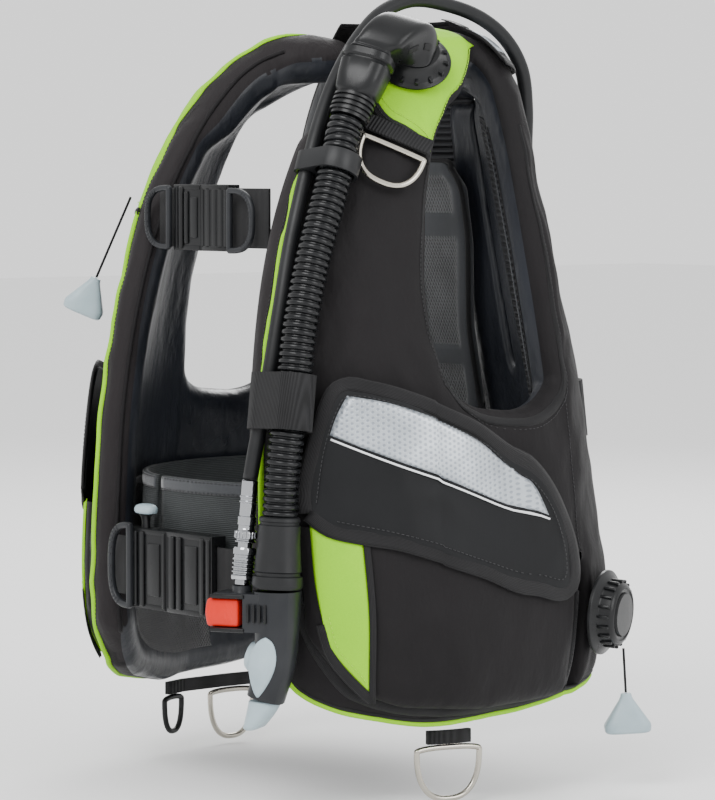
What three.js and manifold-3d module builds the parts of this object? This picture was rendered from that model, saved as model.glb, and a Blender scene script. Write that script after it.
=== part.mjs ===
// Jacket-style buoyancy compensator vest, worn by a diver and strapped to a cylinder.
// Millimetres, +Z up. The wearer faces -Y, so the wearer's left is +X.
// Everything is drawn with the hem at z = 0 and then moved so that the tank cradle is the origin.
import * as THREE from 'three';
import { mergeVertices } from 'three/addons/utils/BufferGeometryUtils.js';
import Module from 'manifold-3d';

const wasm = await Module();
wasm.setup();

// ---------------------------------------------------------------- driving dimensions
const widthScale = 1;            // girth of the vest, side to side
const depthScale = 1;            // girth of the vest, front to back
const heightScale = 1;           // hem to shoulder
const lobeThickness = 36;        // inflatable panels round the body
const shoulderThickness = 50;    // shoulder strap at the neck side
const armThickness = 32;         // shoulder strap at the arm side
const collarThickness = 36;
const seamGap = 0.45;            // degrees left between two sewn panels
const frontEdgeAngle = 26.5;     // front edge of each side, from the centre line
const webbing = 2.6;             // thickness of belt webbing
const webbingWidth = 50;
const fit = 0.6;                 // clearance between separate hard pieces
const hoseDiameter = 29;
const lpHoseDiameter = 12.5;
const ringWire = 5;              // stainless wire of the D-rings
const valveRadius = 36;
const bandReach = 96;            // half length of the flat-lying tank band
const chestHeight = 425;
const waistHeight = 128;

// Girth of the outer surface: height, half width, depth to the front, depth to the back.
const sections = [
  [0, 204, 196, 150], [50, 215, 212, 158], [110, 220, 219, 164], [190, 212, 220, 156],
  [280, 203, 215, 141], [370, 187, 200, 127], [440, 173, 177, 118], [500, 157, 144, 113],
  [545, 136, 106, 110], [575, 104, 81, 100], [592, 66, 59, 74],
];

// ---------------------------------------------------------------- helpers
const rad = THREE.MathUtils.degToRad;
const lerp = THREE.MathUtils.lerp;
const clamp = THREE.MathUtils.clamp;
const vec = (x, y, z) => new THREE.Vector3(x, y, z);

// A place on the vest, which moves with its girth and height.
const at = (x, y, z) => vec(x * widthScale, y * depthScale, z * heightScale);

// Smooth curve through rows of [x, y...]; returns column `col` at x.
function sample(rows, col, x) {
  const last = rows.length - 1;
  const slope = (i) => {
    const a = Math.max(i - 1, 0);
    const b = Math.min(i + 1, last);
    return (rows[b][col] - rows[a][col]) / (rows[b][0] - rows[a][0]);
  };
  let i = 0;
  while (i < last - 1 && x > rows[i + 1][0]) i += 1;
  const h = rows[i + 1][0] - rows[i][0];
  const t = (x - rows[i][0]) / h;
  const t2 = t * t;
  const t3 = t2 * t;
  return (2 * t3 - 3 * t2 + 1) * rows[i][col] + (t3 - 2 * t2 + t) * h * slope(i)
    + (-2 * t3 + 3 * t2) * rows[i + 1][col] + (t3 - t2) * h * slope(i + 1);
}

// Straight-line reading of a list of [x, value] points.
function along(points, x) {
  let i = 0;
  while (i < points.length - 2 && x > points[i + 1][0]) i += 1;
  const [a, b] = [points[i], points[i + 1]];
  return lerp(a[1], b[1], clamp((x - a[0]) / (b[0] - a[0]), 0, 1));
}

// Outer surface of the vest: angle from the front centre towards the wearer's left, height.
function surface(theta, z, off = 0) {
  const s = Math.sin(rad(theta));
  const c = Math.cos(rad(theta));
  const a = sample(sections, 1, z) * widthScale + off;
  const f = sample(sections, 2, z) * depthScale + off;
  const b = sample(sections, 3, z) * depthScale + off;
  const squareness = 2.15 + 1.25 * (0.5 - 0.5 * clamp(c * 3, -1, 1));
  const e = 2 / squareness;
  const x = a * Math.sign(s) * Math.abs(s) ** e;
  const y = c > 0 ? -f * Math.abs(c) ** e : b * Math.abs(c) ** e;
  return vec(x, y, z * heightScale);
}

function outward(theta, z) {
  const step = 0.6;
  const dTheta = surface(theta + step, z).sub(surface(theta - step, z));
  const dZ = surface(theta, Math.min(z + step, 592)).sub(surface(theta, z - step));
  return dTheta.cross(dZ).normalize();
}

// Point at a height above the surface, measured square to it.
const raised = (theta, z, height) => surface(theta, z).addScaledVector(outward(theta, z), height);

// Surface angle at which the back of the vest is x away from the centre line.
function angleAtX(x, z) {
  const a = sample(sections, 1, z) * widthScale;
  return 180 - THREE.MathUtils.radToDeg(Math.asin((x / a) ** 1.7));
}

// Makes a geometry a closed, outward-facing body of shared vertices.
function closed(geometry) {
  geometry.deleteAttribute('normal');
  geometry.deleteAttribute('uv');
  const body = mergeVertices(geometry, 1e-3);
  const p = body.attributes.position;
  const index = body.index.array;
  let volume = 0;
  const corner = (k) => vec(p.getX(index[k]), p.getY(index[k]), p.getZ(index[k]));
  for (let i = 0; i < index.length; i += 3) {
    volume += corner(i).dot(corner(i + 1).cross(corner(i + 2)));
  }
  if (volume < 0) {
    for (let i = 0; i < index.length; i += 3) {
      [index[i], index[i + 1]] = [index[i + 1], index[i]];
    }
  }
  return body;
}

function eachVertex(geometry, place) {
  const p = geometry.attributes.position;
  for (let i = 0; i < p.count; i += 1) {
    const v = place(p.getX(i), p.getY(i), p.getZ(i));
    p.setXYZ(i, v.x, v.y, v.z);
  }
  return closed(geometry);
}

// A sewn panel: a box of nu x nv cells whose corners are placed by place(u, v, depth).
const panel = (nu, nv, place, nw = 1) => eachVertex(
  new THREE.BoxGeometry(1, 1, 1, nu, nv, nw),
  (x, y, z) => place(x + 0.5, y + 0.5, z + 0.5),
);

const box = (x0, x1, y0, y1, z0, z1) => closed(
  new THREE.BoxGeometry(x1 - x0, y1 - y0, z1 - z0).translate((x0 + x1) / 2, (y0 + y1) / 2, (z0 + z1) / 2),
);

// A body swept along a path. shape(t) gives [half width, half height, squareness];
// side is the direction of its width.
function sweep(points, shape, side, sides = 12, steps = 12) {
  const path = points.length > 2
    ? new THREE.CatmullRomCurve3(points, false, 'centripetal')
    : new THREE.LineCurve3(points[0], points[1]);
  return eachVertex(new THREE.CylinderGeometry(1, 1, 1, sides, steps), (x, y, z) => {
    const t = clamp(y + 0.5, 0, 1);
    const tangent = path.getTangentAt(t);
    const across = side.clone().addScaledVector(tangent, -side.dot(tangent)).normalize();
    const up = new THREE.Vector3().crossVectors(tangent, across);
    const [w, h, n = 2] = shape(t);
    const r = Math.hypot(x, z);
    const c = r ? x / r : 0;
    const s = r ? z / r : 0;
    const e = 2 / n;
    const point = path.getPointAt(t);
    point.addScaledVector(across, r * w * Math.sign(c) * Math.abs(c) ** e);
    return point.addScaledVector(up, r * h * Math.sign(s) * Math.abs(s) ** e);
  });
}

// Plain round hose or cord through hand-picked points.
function cord(points, diameter, sides, steps) {
  const circle = new THREE.Shape().absarc(0, 0, diameter / 2, 0, Math.PI * 2);
  const path = new THREE.CatmullRomCurve3(points, false, 'centripetal');
  return closed(new THREE.ExtrudeGeometry(circle, { steps, extrudePath: path, curveSegments: sides / 2 }));
}

// Wire ring whose centre line is outline(angle) in the local xz plane.
function wireRing(outline, wire, around = 28) {
  const tube = 0.3;
  const torus = new THREE.TorusGeometry(1, tube, 6, around);
  return eachVertex(torus, (x, y, z) => {
    const phi = Math.atan2(y, x);
    const centre = outline(phi);
    const tangent = outline(phi + 0.01).sub(outline(phi - 0.01)).normalize();
    const normal = vec(tangent.z, 0, -tangent.x);
    const out = (Math.hypot(x, y) - 1) / tube;
    centre.addScaledVector(normal, (out * wire) / 2);
    return centre.add(vec(0, (z / tube) * (wire / 2), 0));
  });
}

// D outline: straight bar on z = 0, bow hanging to z = -drop.
const barBow = 3;
const dOutline = (halfWidth, drop) => (phi) => {
  const s = Math.sin(phi);
  const x = halfWidth * Math.sign(Math.cos(phi)) * Math.abs(Math.cos(phi)) ** 0.8;
  return s >= 0 ? vec(x, 0, barBow * s) : vec(x, 0, -drop * Math.abs(s) ** 0.8);
};

const solidOf = (geometry) => new wasm.Manifold(new wasm.Mesh({
  numProp: 3,
  vertProperties: new Float32Array(geometry.attributes.position.array),
  triVerts: new Uint32Array(geometry.index.array),
}));

function geometryOf(solid) {
  const mesh = solid.getMesh();
  const geometry = new THREE.BufferGeometry();
  geometry.setAttribute('position', new THREE.BufferAttribute(new Float32Array(mesh.vertProperties), 3));
  geometry.setIndex(new THREE.BufferAttribute(new Uint32Array(mesh.triVerts), 1));
  return closed(geometry);
}

const cut = (body, ...tools) => geometryOf(
  tools.reduce((solid, tool) => solid.subtract(solidOf(tool)), solidOf(body)),
);
const join = (...bodies) => geometryOf(
  bodies.slice(1).reduce((solid, body) => solid.add(solidOf(body)), solidOf(bodies[0])),
);

// Turned body: profile of [radius, height] about the local z axis.
const turned = (profile, sides = 24) => closed(
  new THREE.LatheGeometry(profile.map(([r, h]) => new THREE.Vector2(r, h)), sides).rotateX(Math.PI / 2),
);

// Group whose local z runs along the given direction, with x as near to xHint as it can be.
function facing(origin, alongZ, xHint) {
  const z = alongZ.clone().normalize();
  return placed(origin, xHint.clone().addScaledVector(z, -xHint.dot(z)), z);
}

// Group whose local x runs along the given direction, with z as near to upZ as it can be.
function placed(origin, alongX, upZ) {
  const x = alongX.clone().normalize();
  const z = upZ.clone().addScaledVector(x, -upZ.dot(x)).normalize();
  const y = new THREE.Vector3().crossVectors(z, x);
  const holder = new THREE.Group();
  holder.quaternion.setFromRotationMatrix(new THREE.Matrix4().makeBasis(x, y, z));
  holder.position.copy(origin);
  return holder;
}

// ---------------------------------------------------------------- materials
const finish = {
  nylon: { color: 0x17151a, roughness: 0.8, metalness: 0 },
  lime: { color: 0xb4e61e, roughness: 0.7, metalness: 0 },
  mesh: { color: 0x3a3e42, roughness: 0.8, metalness: 0 },
  belt: { color: 0x141416, roughness: 0.75, metalness: 0 },
  plastic: { color: 0x1d1f21, roughness: 0.45, metalness: 0 },
  greyPlastic: { color: 0x2c2e31, roughness: 0.5, metalness: 0 },
  rubber: { color: 0x1a1b1c, roughness: 0.6, metalness: 0 },
  red: { color: 0xd8301f, roughness: 0.4, metalness: 0 },
  paleGrey: { color: 0xa9bac0, roughness: 0.45, metalness: 0 },
  steel: { color: 0xb9b7b0, roughness: 0.25, metalness: 1 },
  chrome: { color: 0xd5d7d9, roughness: 0.1, metalness: 1 },
};

const vest = new THREE.Group();

function add(name, geometry, look, holder = vest) {
  const mesh = new THREE.Mesh(geometry, new THREE.MeshStandardMaterial(finish[look]));
  mesh.name = name;
  holder.add(mesh);
  return mesh;
}

// The same piece on the wearer's left and, mirrored, on the right.
function addPair(name, geometry, look) {
  add(`left_${name}`, geometry, look);
  add(`right_${name}`, geometry.clone(), look).scale.x = -1;
}

// ---------------------------------------------------------------- inflatable panels
const hemLine = [
  [20, 82], [26, 70], [33, 44], [38, 27], [47, 15], [68, 3],
  [89, 8], [102, 16], [122, 24], [150, 30], [180, 32],
];
const frontEdge = [
  [0, frontEdgeAngle - 0.5], [300, frontEdgeAngle], [440, frontEdgeAngle + 1.5], [492, frontEdgeAngle + 2.5],
];
const armFront = [[0, 78], [298, 78], [334, 74.5], [374, 73.5], [440, 75.5], [478, 79], [492, 81.5]];
const armBottom = [[78, 297], [82, 281], [86, 272], [92, 267], [97, 270], [102, 278], [107, 292]];
const armRear = [[0, 107], [292, 107], [326, 108], [394, 110], [448, 111], [502, 112], [526, 112.5]];
const frontTop = 492;
const rearTop = 526;

const skin = (theta, z, depth, thickness) => raised(theta, z, -depth * thickness);

function frontPanel() {
  return panel(7, 10, (u, v, w) => {
    const guess = lerp(hemLine[1][1], frontTop, v);
    const theta = lerp(along(frontEdge, guess), along(armFront, guess) - seamGap, u);
    return skin(theta, lerp(along(hemLine, theta), frontTop, v), w, lobeThickness);
  });
}

function sidePanel() {
  return panel(6, 6, (u, v, w) => {
    const theta = lerp(armBottom[0][0], armBottom[6][0] - seamGap, u);
    return skin(theta, lerp(along(hemLine, theta), along(armBottom, theta), v), w, lobeThickness);
  });
}

function rearPanel() {
  return panel(9, 10, (u, v, w) => {
    const guess = lerp(24, rearTop, v);
    const theta = lerp(along(armRear, guess), angleAtX(6, guess), u ** 0.8);
    return skin(theta, lerp(along(hemLine, theta), rearTop, v), w, lobeThickness);
  });
}

// Neck-side and arm-side edges of the shoulder strap, as [angle, height] from front to back.
const edgeCurve = (points) => {
  const curve = new THREE.CatmullRomCurve3(points.map(([a, z]) => vec(a, z, 0)), false, 'centripetal');
  return (t) => curve.getPointAt(clamp(t, 0, 1));
};
const neckEdge = edgeCurve([
  [29, frontTop + 1.6], [37, 524], [54, 562], [80, 586], [108, 590], [140, 574], [160, rearTop + 2],
]);
const armEdge = edgeCurve([
  [81.5, frontTop + 1.6], [87, 516], [95, 545], [104, 566], [111, 570], [113, 552], [112.5, rearTop + 2],
]);

function shoulderStrap() {
  return panel(6, 14, (u, v, w) => {
    const neck = neckEdge(v);
    const arm = armEdge(v);
    return skin(lerp(neck.x, arm.x, u), lerp(neck.y, arm.y, u), w, lerp(shoulderThickness, armThickness, u));
  });
}

const collarStart = 0.8;         // where the collar meets the straps, as a share of the neck edge
const collarAngle = 4.2;         // degrees kept to the straps

function collarPad() {
  return panel(10, 4, (u, v, w) => {
    const edge = neckEdge(lerp(1, collarStart, v));
    const theta = lerp(edge.x + collarAngle, 360 - edge.x - collarAngle, u);
    return skin(theta, edge.y, w, collarThickness);
  });
}

function yokeFlap() {
  const lift = 2;
  return panel(14, 4, (u, v, w) => {
    const side = lerp(-1, 1, u);
    const theta = 180 + side * lerp(64, 66, v);
    const z = lerp(556 - 10 * (1 - side * side), 588, v);
    return raised(theta, z, lerp(lift + 3.5, lift, w));
  });
}

addPair('front_lobe', frontPanel(), 'nylon');
addPair('side_lobe', sidePanel(), 'nylon');
addPair('rear_lobe', rearPanel(), 'nylon');
addPair('shoulder_strap', shoulderStrap(), 'lime');
add('neck_collar', collarPad(), 'nylon');
add('yoke_flap', yokeFlap(), 'nylon');

// ---------------------------------------------------------------- cummerbund and back pad
const beltClear = 5;
const cummerbundTop = 206;
const cummerbundBottom = 92;

function cummerbund(firstAngle) {
  const depth = lobeThickness + beltClear;
  return panel(18, 2, (u, v, w) => {
    const theta = lerp(firstAngle, 150, u);
    return surface(theta, lerp(cummerbundBottom, cummerbundTop, v), -depth - w * 4);
  });
}

function backPad() {
  const thickness = 12;
  const outline = [[245, 60], [270, 66], [330, 64], [400, 74], [450, 72], [475, 50]];
  return panel(8, 10, (u, v, w) => {
    const z = lerp(outline[0][0], outline[5][0], v);
    const x = lerp(-1, 1, u) * along(outline, z);
    const rear = sample(sections, 3, z) * depthScale - lobeThickness - 2;
    return vec(x, rear - 3 - (1 - w) * thickness, z * heightScale);
  });
}

add('left_cummerbund', cummerbund(-12), 'mesh');
add('right_cummerbund', cummerbund(16), 'mesh').scale.x = -1;
add('back_pad', backPad(), 'mesh');

// ---------------------------------------------------------------- pockets
const pocketLift = 1.4;
const pocketDepth = 9;
const pocketBottom = [[38, 112], [41.5, 82], [50, 42], [61.5, 27], [84, 22], [100, 26], [104, 40]];
const pocketTop = 176;

const pocketSpan = [40, 102];

// Height of the pocket's face over the vest: it swells between its side seams.
function pocketHeight(theta) {
  const u = (theta - pocketSpan[0]) / (pocketSpan[1] - pocketSpan[0]);
  return pocketLift + 2 + pocketDepth * Math.sin(Math.PI * clamp(u, 0.05, 0.95)) ** 0.5;
}

function pocketBag() {
  return panel(12, 5, (u, v, w) => {
    const theta = lerp(...pocketSpan, u);
    const z = lerp(along(pocketBottom, theta), pocketTop, v);
    return raised(theta, z, lerp(pocketHeight(theta), pocketLift, w));
  });
}

const flapTop = [
  [41.5, 212], [46.5, 277], [50.5, 292], [62.5, 283], [82.5, 252], [91, 222], [97, 188], [100, 152],
];
const flapBottom = [[41.5, 188], [47, 172], [62, 159], [82.5, 133], [95.5, 111], [100, 120]];

const flapClear = 1.6;
const flapThickness = 4;

function pocketFlap() {
  return panel(12, 4, (u, v, w) => {
    const theta = lerp(41.5, 100, u);
    const z = lerp(along(flapBottom, theta), along(flapTop, theta), v);
    return raised(theta, z, pocketHeight(theta) + flapClear + (1 - w) * flapThickness);
  });
}

addPair('pocket', pocketBag(), 'nylon');
addPair('pocket_flap', pocketFlap(), 'nylon');

// ---------------------------------------------------------------- backplate, band and handle
const plateTilt = rad(7.7);
const plateCentre = vec(0, 150 * depthScale, 325 * heightScale);
const plateHalfHeight = 168 * heightScale;
const ribHeight = 10;
const ribX = [28, 40];
const bandZ = -72;

const rear = new THREE.Group();
rear.position.copy(plateCentre);
rear.rotation.x = plateTilt;
vest.add(rear);

// Moulded grip at the top of the plate.
function carryHandle() {
  const z = plateHalfHeight - 26;
  return sweep([
    vec(-30, -4, z), vec(-27, 16, z + 3), vec(0, 27, z + 5), vec(27, 16, z + 3), vec(30, -4, z),
  ], () => [13, 2.5, 5], vec(0, 0, 1), 12, 12);
}

function backplate() {
  const outline = new THREE.Shape();
  outline.moveTo(-50, -plateHalfHeight + 20);
  outline.quadraticCurveTo(-50, -plateHalfHeight, -30, -plateHalfHeight);
  outline.lineTo(30, -plateHalfHeight);
  outline.quadraticCurveTo(50, -plateHalfHeight, 50, -plateHalfHeight + 20);
  outline.lineTo(46, plateHalfHeight - 30);
  outline.quadraticCurveTo(44, plateHalfHeight, 20, plateHalfHeight);
  outline.lineTo(-20, plateHalfHeight);
  outline.quadraticCurveTo(-44, plateHalfHeight, -46, plateHalfHeight - 30);
  const plate = closed(new THREE.ExtrudeGeometry(outline, { depth: 7, bevelEnabled: false, curveSegments: 5 })
    .rotateX(Math.PI / 2));
  const ribs = [-1, 1].map((s) => box(
    Math.min(s * ribX[0], s * ribX[1]), Math.max(s * ribX[0], s * ribX[1]),
    -1, ribHeight, -plateHalfHeight + 25, plateHalfHeight - 45,
  ));
  const slotHalf = webbingWidth / 2 + 1.5;
  const slot = box(-60, 60, fit, ribHeight - 3, bandZ - slotHalf, bandZ + slotHalf);
  return cut(join(plate, ...ribs, carryHandle()), slot);
}

// The band lies flat behind the plate: one run through the cradle, one run over its ribs.
const bandGap = 20;
const bandFront = fit + 0.8;

function tankBand() {
  const outer = new THREE.Shape();
  const inner = new THREE.Path();
  const trace = (shape, grow) => {
    const r = bandGap / 2 + grow;
    const y = bandFront + webbing + bandGap / 2;
    shape.moveTo(-bandReach, y - r);
    shape.lineTo(bandReach, y - r);
    shape.absarc(bandReach, y, r, -Math.PI / 2, Math.PI / 2);
    shape.lineTo(-bandReach, y + r);
    shape.absarc(-bandReach, y, r, Math.PI / 2, Math.PI * 1.5);
  };
  trace(outer, webbing);
  trace(inner, 0);
  outer.holes.push(inner);
  const loop = new THREE.ExtrudeGeometry(outer, {
    depth: webbingWidth, bevelEnabled: false, curveSegments: 8,
  });
  return closed(loop.translate(0, 0, bandZ - webbingWidth / 2));
}

const camY = bandFront + 2 * webbing + bandGap + fit;

function camFrame() {
  const plate = box(-36, 34, camY, camY + 3, bandZ - 29, bandZ + 29);
  const cheek = (z) => box(-36, -16, camY + 1, camY + 17, z - 2, z + 2);
  const bar = box(24, 32, camY + 1, camY + 9, bandZ - 27, bandZ + 27);
  return join(plate, cheek(bandZ - 27), cheek(bandZ + 27), bar);
}

function camLever() {
  const hub = closed(new THREE.CylinderGeometry(6, 6, 48, 16)
    .rotateX(Math.PI / 2).translate(-27, camY + 10, bandZ));
  const arm = box(-27, 21, camY + 10, camY + 15, bandZ - 22, bandZ + 22);
  return join(hub, arm);
}

add('backplate', backplate(), 'plastic', rear);
add('tank_band', tankBand(), 'belt', rear);
add('cam_buckle_frame', camFrame(), 'plastic', rear);
add('cam_buckle_lever', camLever(), 'plastic', rear);

// ---------------------------------------------------------------- inflator hose on the left shoulder
const portSpot = [71, 553];
const portNormal = outward(...portSpot);
const portCentre = surface(...portSpot);
const portLift = 3.5;             // a flat flange on a domed strap
const portHeight = 15;
const towardsArm = vec(0.8, 0.6, 0);

const port = facing(portCentre.clone().addScaledVector(portNormal, portLift), portNormal, vec(0, 1, 0));
vest.add(port);
add('shoulder_port', turned([
  [0, 0], [31, 0], [32, 2], [30, 5], [24, 8], [21, portHeight - 1], [20, portHeight], [0, portHeight],
], 28), 'plastic', port);

const portTop = portCentre.clone().addScaledVector(portNormal, portLift + portHeight + fit);
const hoseRadius = hoseDiameter / 2;
const lpSide = 132.5;            // side of the hose that faces the low-pressure hose
const hoseX = (out) => lpSide + hoseRadius + out;
const cuffTop = at(hoseX(-13), -91, 558);
const cuffBottom = at(hoseX(-11), -116, 507);
const elbowDown = cuffTop.clone().sub(cuffBottom).normalize();

add('shoulder_elbow', sweep([
  portTop,
  portTop.clone().addScaledVector(portNormal, 12),
  at(140, -76, 588),
  cuffTop.clone().addScaledVector(elbowDown, 16),
  cuffTop.clone().addScaledVector(elbowDown, fit),
], (t) => {
  const swell = Math.sin(Math.PI * t);
  return [lerp(16, 19, swell), lerp(15, 17, swell), 3.2];
}, towardsArm, 16, 14), 'plastic');

add('upper_cuff', sweep([cuffTop, cuffBottom], (t) => [
  lerp(20, hoseRadius + 1, t), lerp(18, hoseRadius + 1, t), 2.6,
], towardsArm, 16, 6), 'plastic');

const hoseTop = cuffBottom.clone().addScaledVector(elbowDown, -2 * fit);
const hosePoints = [
  hoseTop, hoseTop.clone().addScaledVector(elbowDown, -12), at(hoseX(-8), -126.5, 484),
  at(hoseX(-5), -137, 456), at(hoseX(-2), -153, 416), at(hoseX(-1), -164, 384), at(hoseX(1), -177, 336),
  at(hoseX(2), -184, 296), at(hoseX(2), -191, 254), at(hoseX(1), -195, 222), at(hoseX(0), -197, 186),
];
add('corrugated_hose', cord(hosePoints, hoseDiameter, 12, 26), 'rubber');

const headTop = 126;             // top of the inflator's head
const headPlace = at(hoseX(0), -200, headTop);
const bellTop = hosePoints[hosePoints.length - 1].clone().add(vec(0, -0.2, -fit - 0.4));
const bell = (t) => lerp(hoseRadius + 1, hoseRadius + 5, Math.min(t * 1.6, 1));
add('lower_cuff', sweep([bellTop, headPlace.clone().add(vec(0, 0, 3 * fit))],
  (t) => [bell(t), bell(t), 2], vec(1, 0, 0), 16, 8), 'rubber');

// ---------------------------------------------------------------- power inflator
// The head lies across, with the inlet and the inflate button at its inner end.
const headAcross = vec(0.86, 0.5, 0).normalize();
const head = placed(headPlace, headAcross, vec(0, 0, 1));
vest.add(head);
const headDepth = 15;
const armReach = -50;            // inner end of the head's arm
const buttonReach = -56;         // outer face of the inflate button
const buttonInner = -29;
const buttonTravel = 4;
const couplingX = -(hoseRadius + 16);
const lowX = -10;                // lower end of the body leans to the inner side

function inflatorBody() {
  const stem = sweep([vec(0, 0, 0), vec(0, 0, -30), vec(-2, 0, -58), vec(lowX, 0, -88)],
    (t) => [lerp(19, 15, t), lerp(17, 14, t), 2.6], vec(1, 0, 0), 16, 10);
  const arm = box(armReach, 4, -headDepth, headDepth, -33, -2);
  const bayEnd = buttonInner + buttonTravel + fit;
  const buttonBay = box(armReach - 1, bayEnd, -headDepth - 1, headDepth + 1, -30, -6);
  const inlet = closed(new THREE.CylinderGeometry(8, 8, 6, 16)
    .rotateX(Math.PI / 2).translate(couplingX, 0, 0.5));
  const deflateSeat = closed(new THREE.CylinderGeometry(14.6, 14.6, 16, 20).rotateX(Math.PI / 2)
    .rotateY(rad(-74)).translate(-18.5, 0, -54));
  return cut(join(stem, arm, inlet), deflateSeat, buttonBay);
}

function inflateButton() {
  return panel(4, 4, (u, v, w) => {
    const bulge = Math.sin(Math.PI * v) * 2;
    return vec(lerp(buttonReach - bulge, buttonInner, u), lerp(-13, 13, w), lerp(-30 + fit, -6 - fit, v));
  }, 2);
}

function deflateButton() {
  const cap = turned([[0, 0], [13.4, 0], [13.4, 6], [11, 10], [0, 12]], 20);
  return closed(cap.rotateY(rad(-74)).translate(-14.6, 0, -55));
}

function mouthpiece() {
  return sweep([vec(lowX - 0.5, 0, -89.7), vec(lowX - 4, 0, -99), vec(lowX - 11, 0, -113)],
    (t) => [lerp(12.5, 6, t), lerp(12, 15, t), 2.6], vec(1, 0, 0), 14, 6);
}

add('inflator_body', inflatorBody(), 'greyPlastic', head);
add('inflate_button', inflateButton(), 'red', head);
add('deflate_button', deflateButton(), 'paleGrey', head);
add('mouthpiece', mouthpiece(), 'paleGrey', head);

// Quick-release coupling on the inlet.
const couplingLength = 85;
const couplingLean = vec(0.02, 0.085, 1).normalize();
const couplingFoot = vec(couplingX, 0, 4.2).applyQuaternion(head.quaternion).add(head.position);
const coupling = facing(couplingFoot, couplingLean, vec(1, 0, 0));
vest.add(coupling);
add('coupling_body', turned([
  [0, 0], [6, 0], [6, 34], [8.5, 34], [8.5, 44], [6.6, 46],
  [6.6, couplingLength - 1], [5, couplingLength], [0, couplingLength],
], 16), 'chrome', coupling);
const sleeveTravel = 3;
add('coupling_sleeve', turned([
  [6 + fit, 4], [9.5, 4], [9.5, 8], [8.4, 10], [9.5, 12], [9.5, 16], [8.4, 18], [9.5, 20],
  [9.5, 26], [8.6, 34 - sleeveTravel - fit], [6 + fit, 34 - sleeveTravel - fit], [6 + fit, 4],
], 20), 'chrome', coupling);

// ---------------------------------------------------------------- low-pressure hose
const couplingTop = couplingFoot.clone().addScaledVector(couplingLean, couplingLength + fit);
const lpPoints = [
  couplingTop, at(124, -204, 240), at(126, -196, 278), at(127, -188, 318),
  at(125, -178, 358), at(121, -166, 400), at(117, -152, 440), at(111.5, -135, 480), at(104, -116, 514),
  at(97, -95, 544), at(91, -69, 573), at(86, -38, 597), at(85, -2, 609), at(86, 36, 606), at(88, 72, 596),
  at(90, 100, 578), at(89, 120, 552), at(84, 130, 520), at(77, 136, 486), at(70, 143, 450), at(66, 150, 420),
];
add('lp_hose', cord(lpPoints, lpHoseDiameter, 10, 34), 'rubber');

const [lpBefore, lpEnd] = lpPoints.slice(-2);
const lpDown = lpEnd.clone().sub(lpBefore).normalize();
const lpFitting = facing(lpEnd.clone().addScaledVector(lpDown, fit), lpDown, vec(1, 0, 0));
vest.add(lpFitting);
add('lp_hose_fitting', turned([
  [0, 0], [8.4, 0], [8.4, 16], [7, 18], [8, 18], [8, 27], [4.8, 27], [4.8, 38], [0, 38],
], 12), 'chrome', lpFitting);

// ---------------------------------------------------------------- hose clip and hose band
// A plate with two rings: both hoses pass through it.
function hoseKeeper(height, hoseAt, lpAt, run, lpSlack) {
  const middle = hoseAt.clone().add(lpAt).multiplyScalar(0.5);
  const across = hoseAt.clone().sub(lpAt);
  const holder = placed(middle, across, run);
  const halfSpan = across.length() / 2;
  const wall = 3;
  const hoseHole = hoseDiameter / 2 + 1.8;
  const lpHole = lpHoseDiameter / 2 + lpSlack;
  const outline = new THREE.Shape();
  outline.absarc(halfSpan, 0, hoseHole + wall, -Math.PI / 2, Math.PI / 2);
  outline.absarc(-halfSpan, 0, lpHole + wall, Math.PI / 2, Math.PI * 1.5);
  const holes = [[halfSpan, hoseHole], [-halfSpan, lpHole]].map(([x, r]) => {
    const hole = new THREE.CylinderGeometry(r, r, height * 3, 20).rotateX(Math.PI / 2).translate(x, 0, 0);
    return closed(hole);
  });
  const block = closed(new THREE.ExtrudeGeometry(outline, {
    depth: height, bevelEnabled: false, curveSegments: 10,
  }).translate(0, 0, -height / 2));
  return [holder, cut(block, ...holes)];
}

const [clipHolder, clipShape] = hoseKeeper(
  17, at(hoseX(-6.4), -131.8, 470), at(113, -138.8, 470), vec(-0.1, 0.42, 1), 1.6,
);
vest.add(clipHolder);
add('hose_clip', clipShape, 'rubber', clipHolder);
const [bandHolder, bandShape] = hoseKeeper(
  46, at(hoseX(2), -187.4, 278), at(126, -196, 278), vec(0.02, 0.18, 1), 3.4,
);
vest.add(bandHolder);
add('hose_band', bandShape, 'belt', bandHolder);

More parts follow.
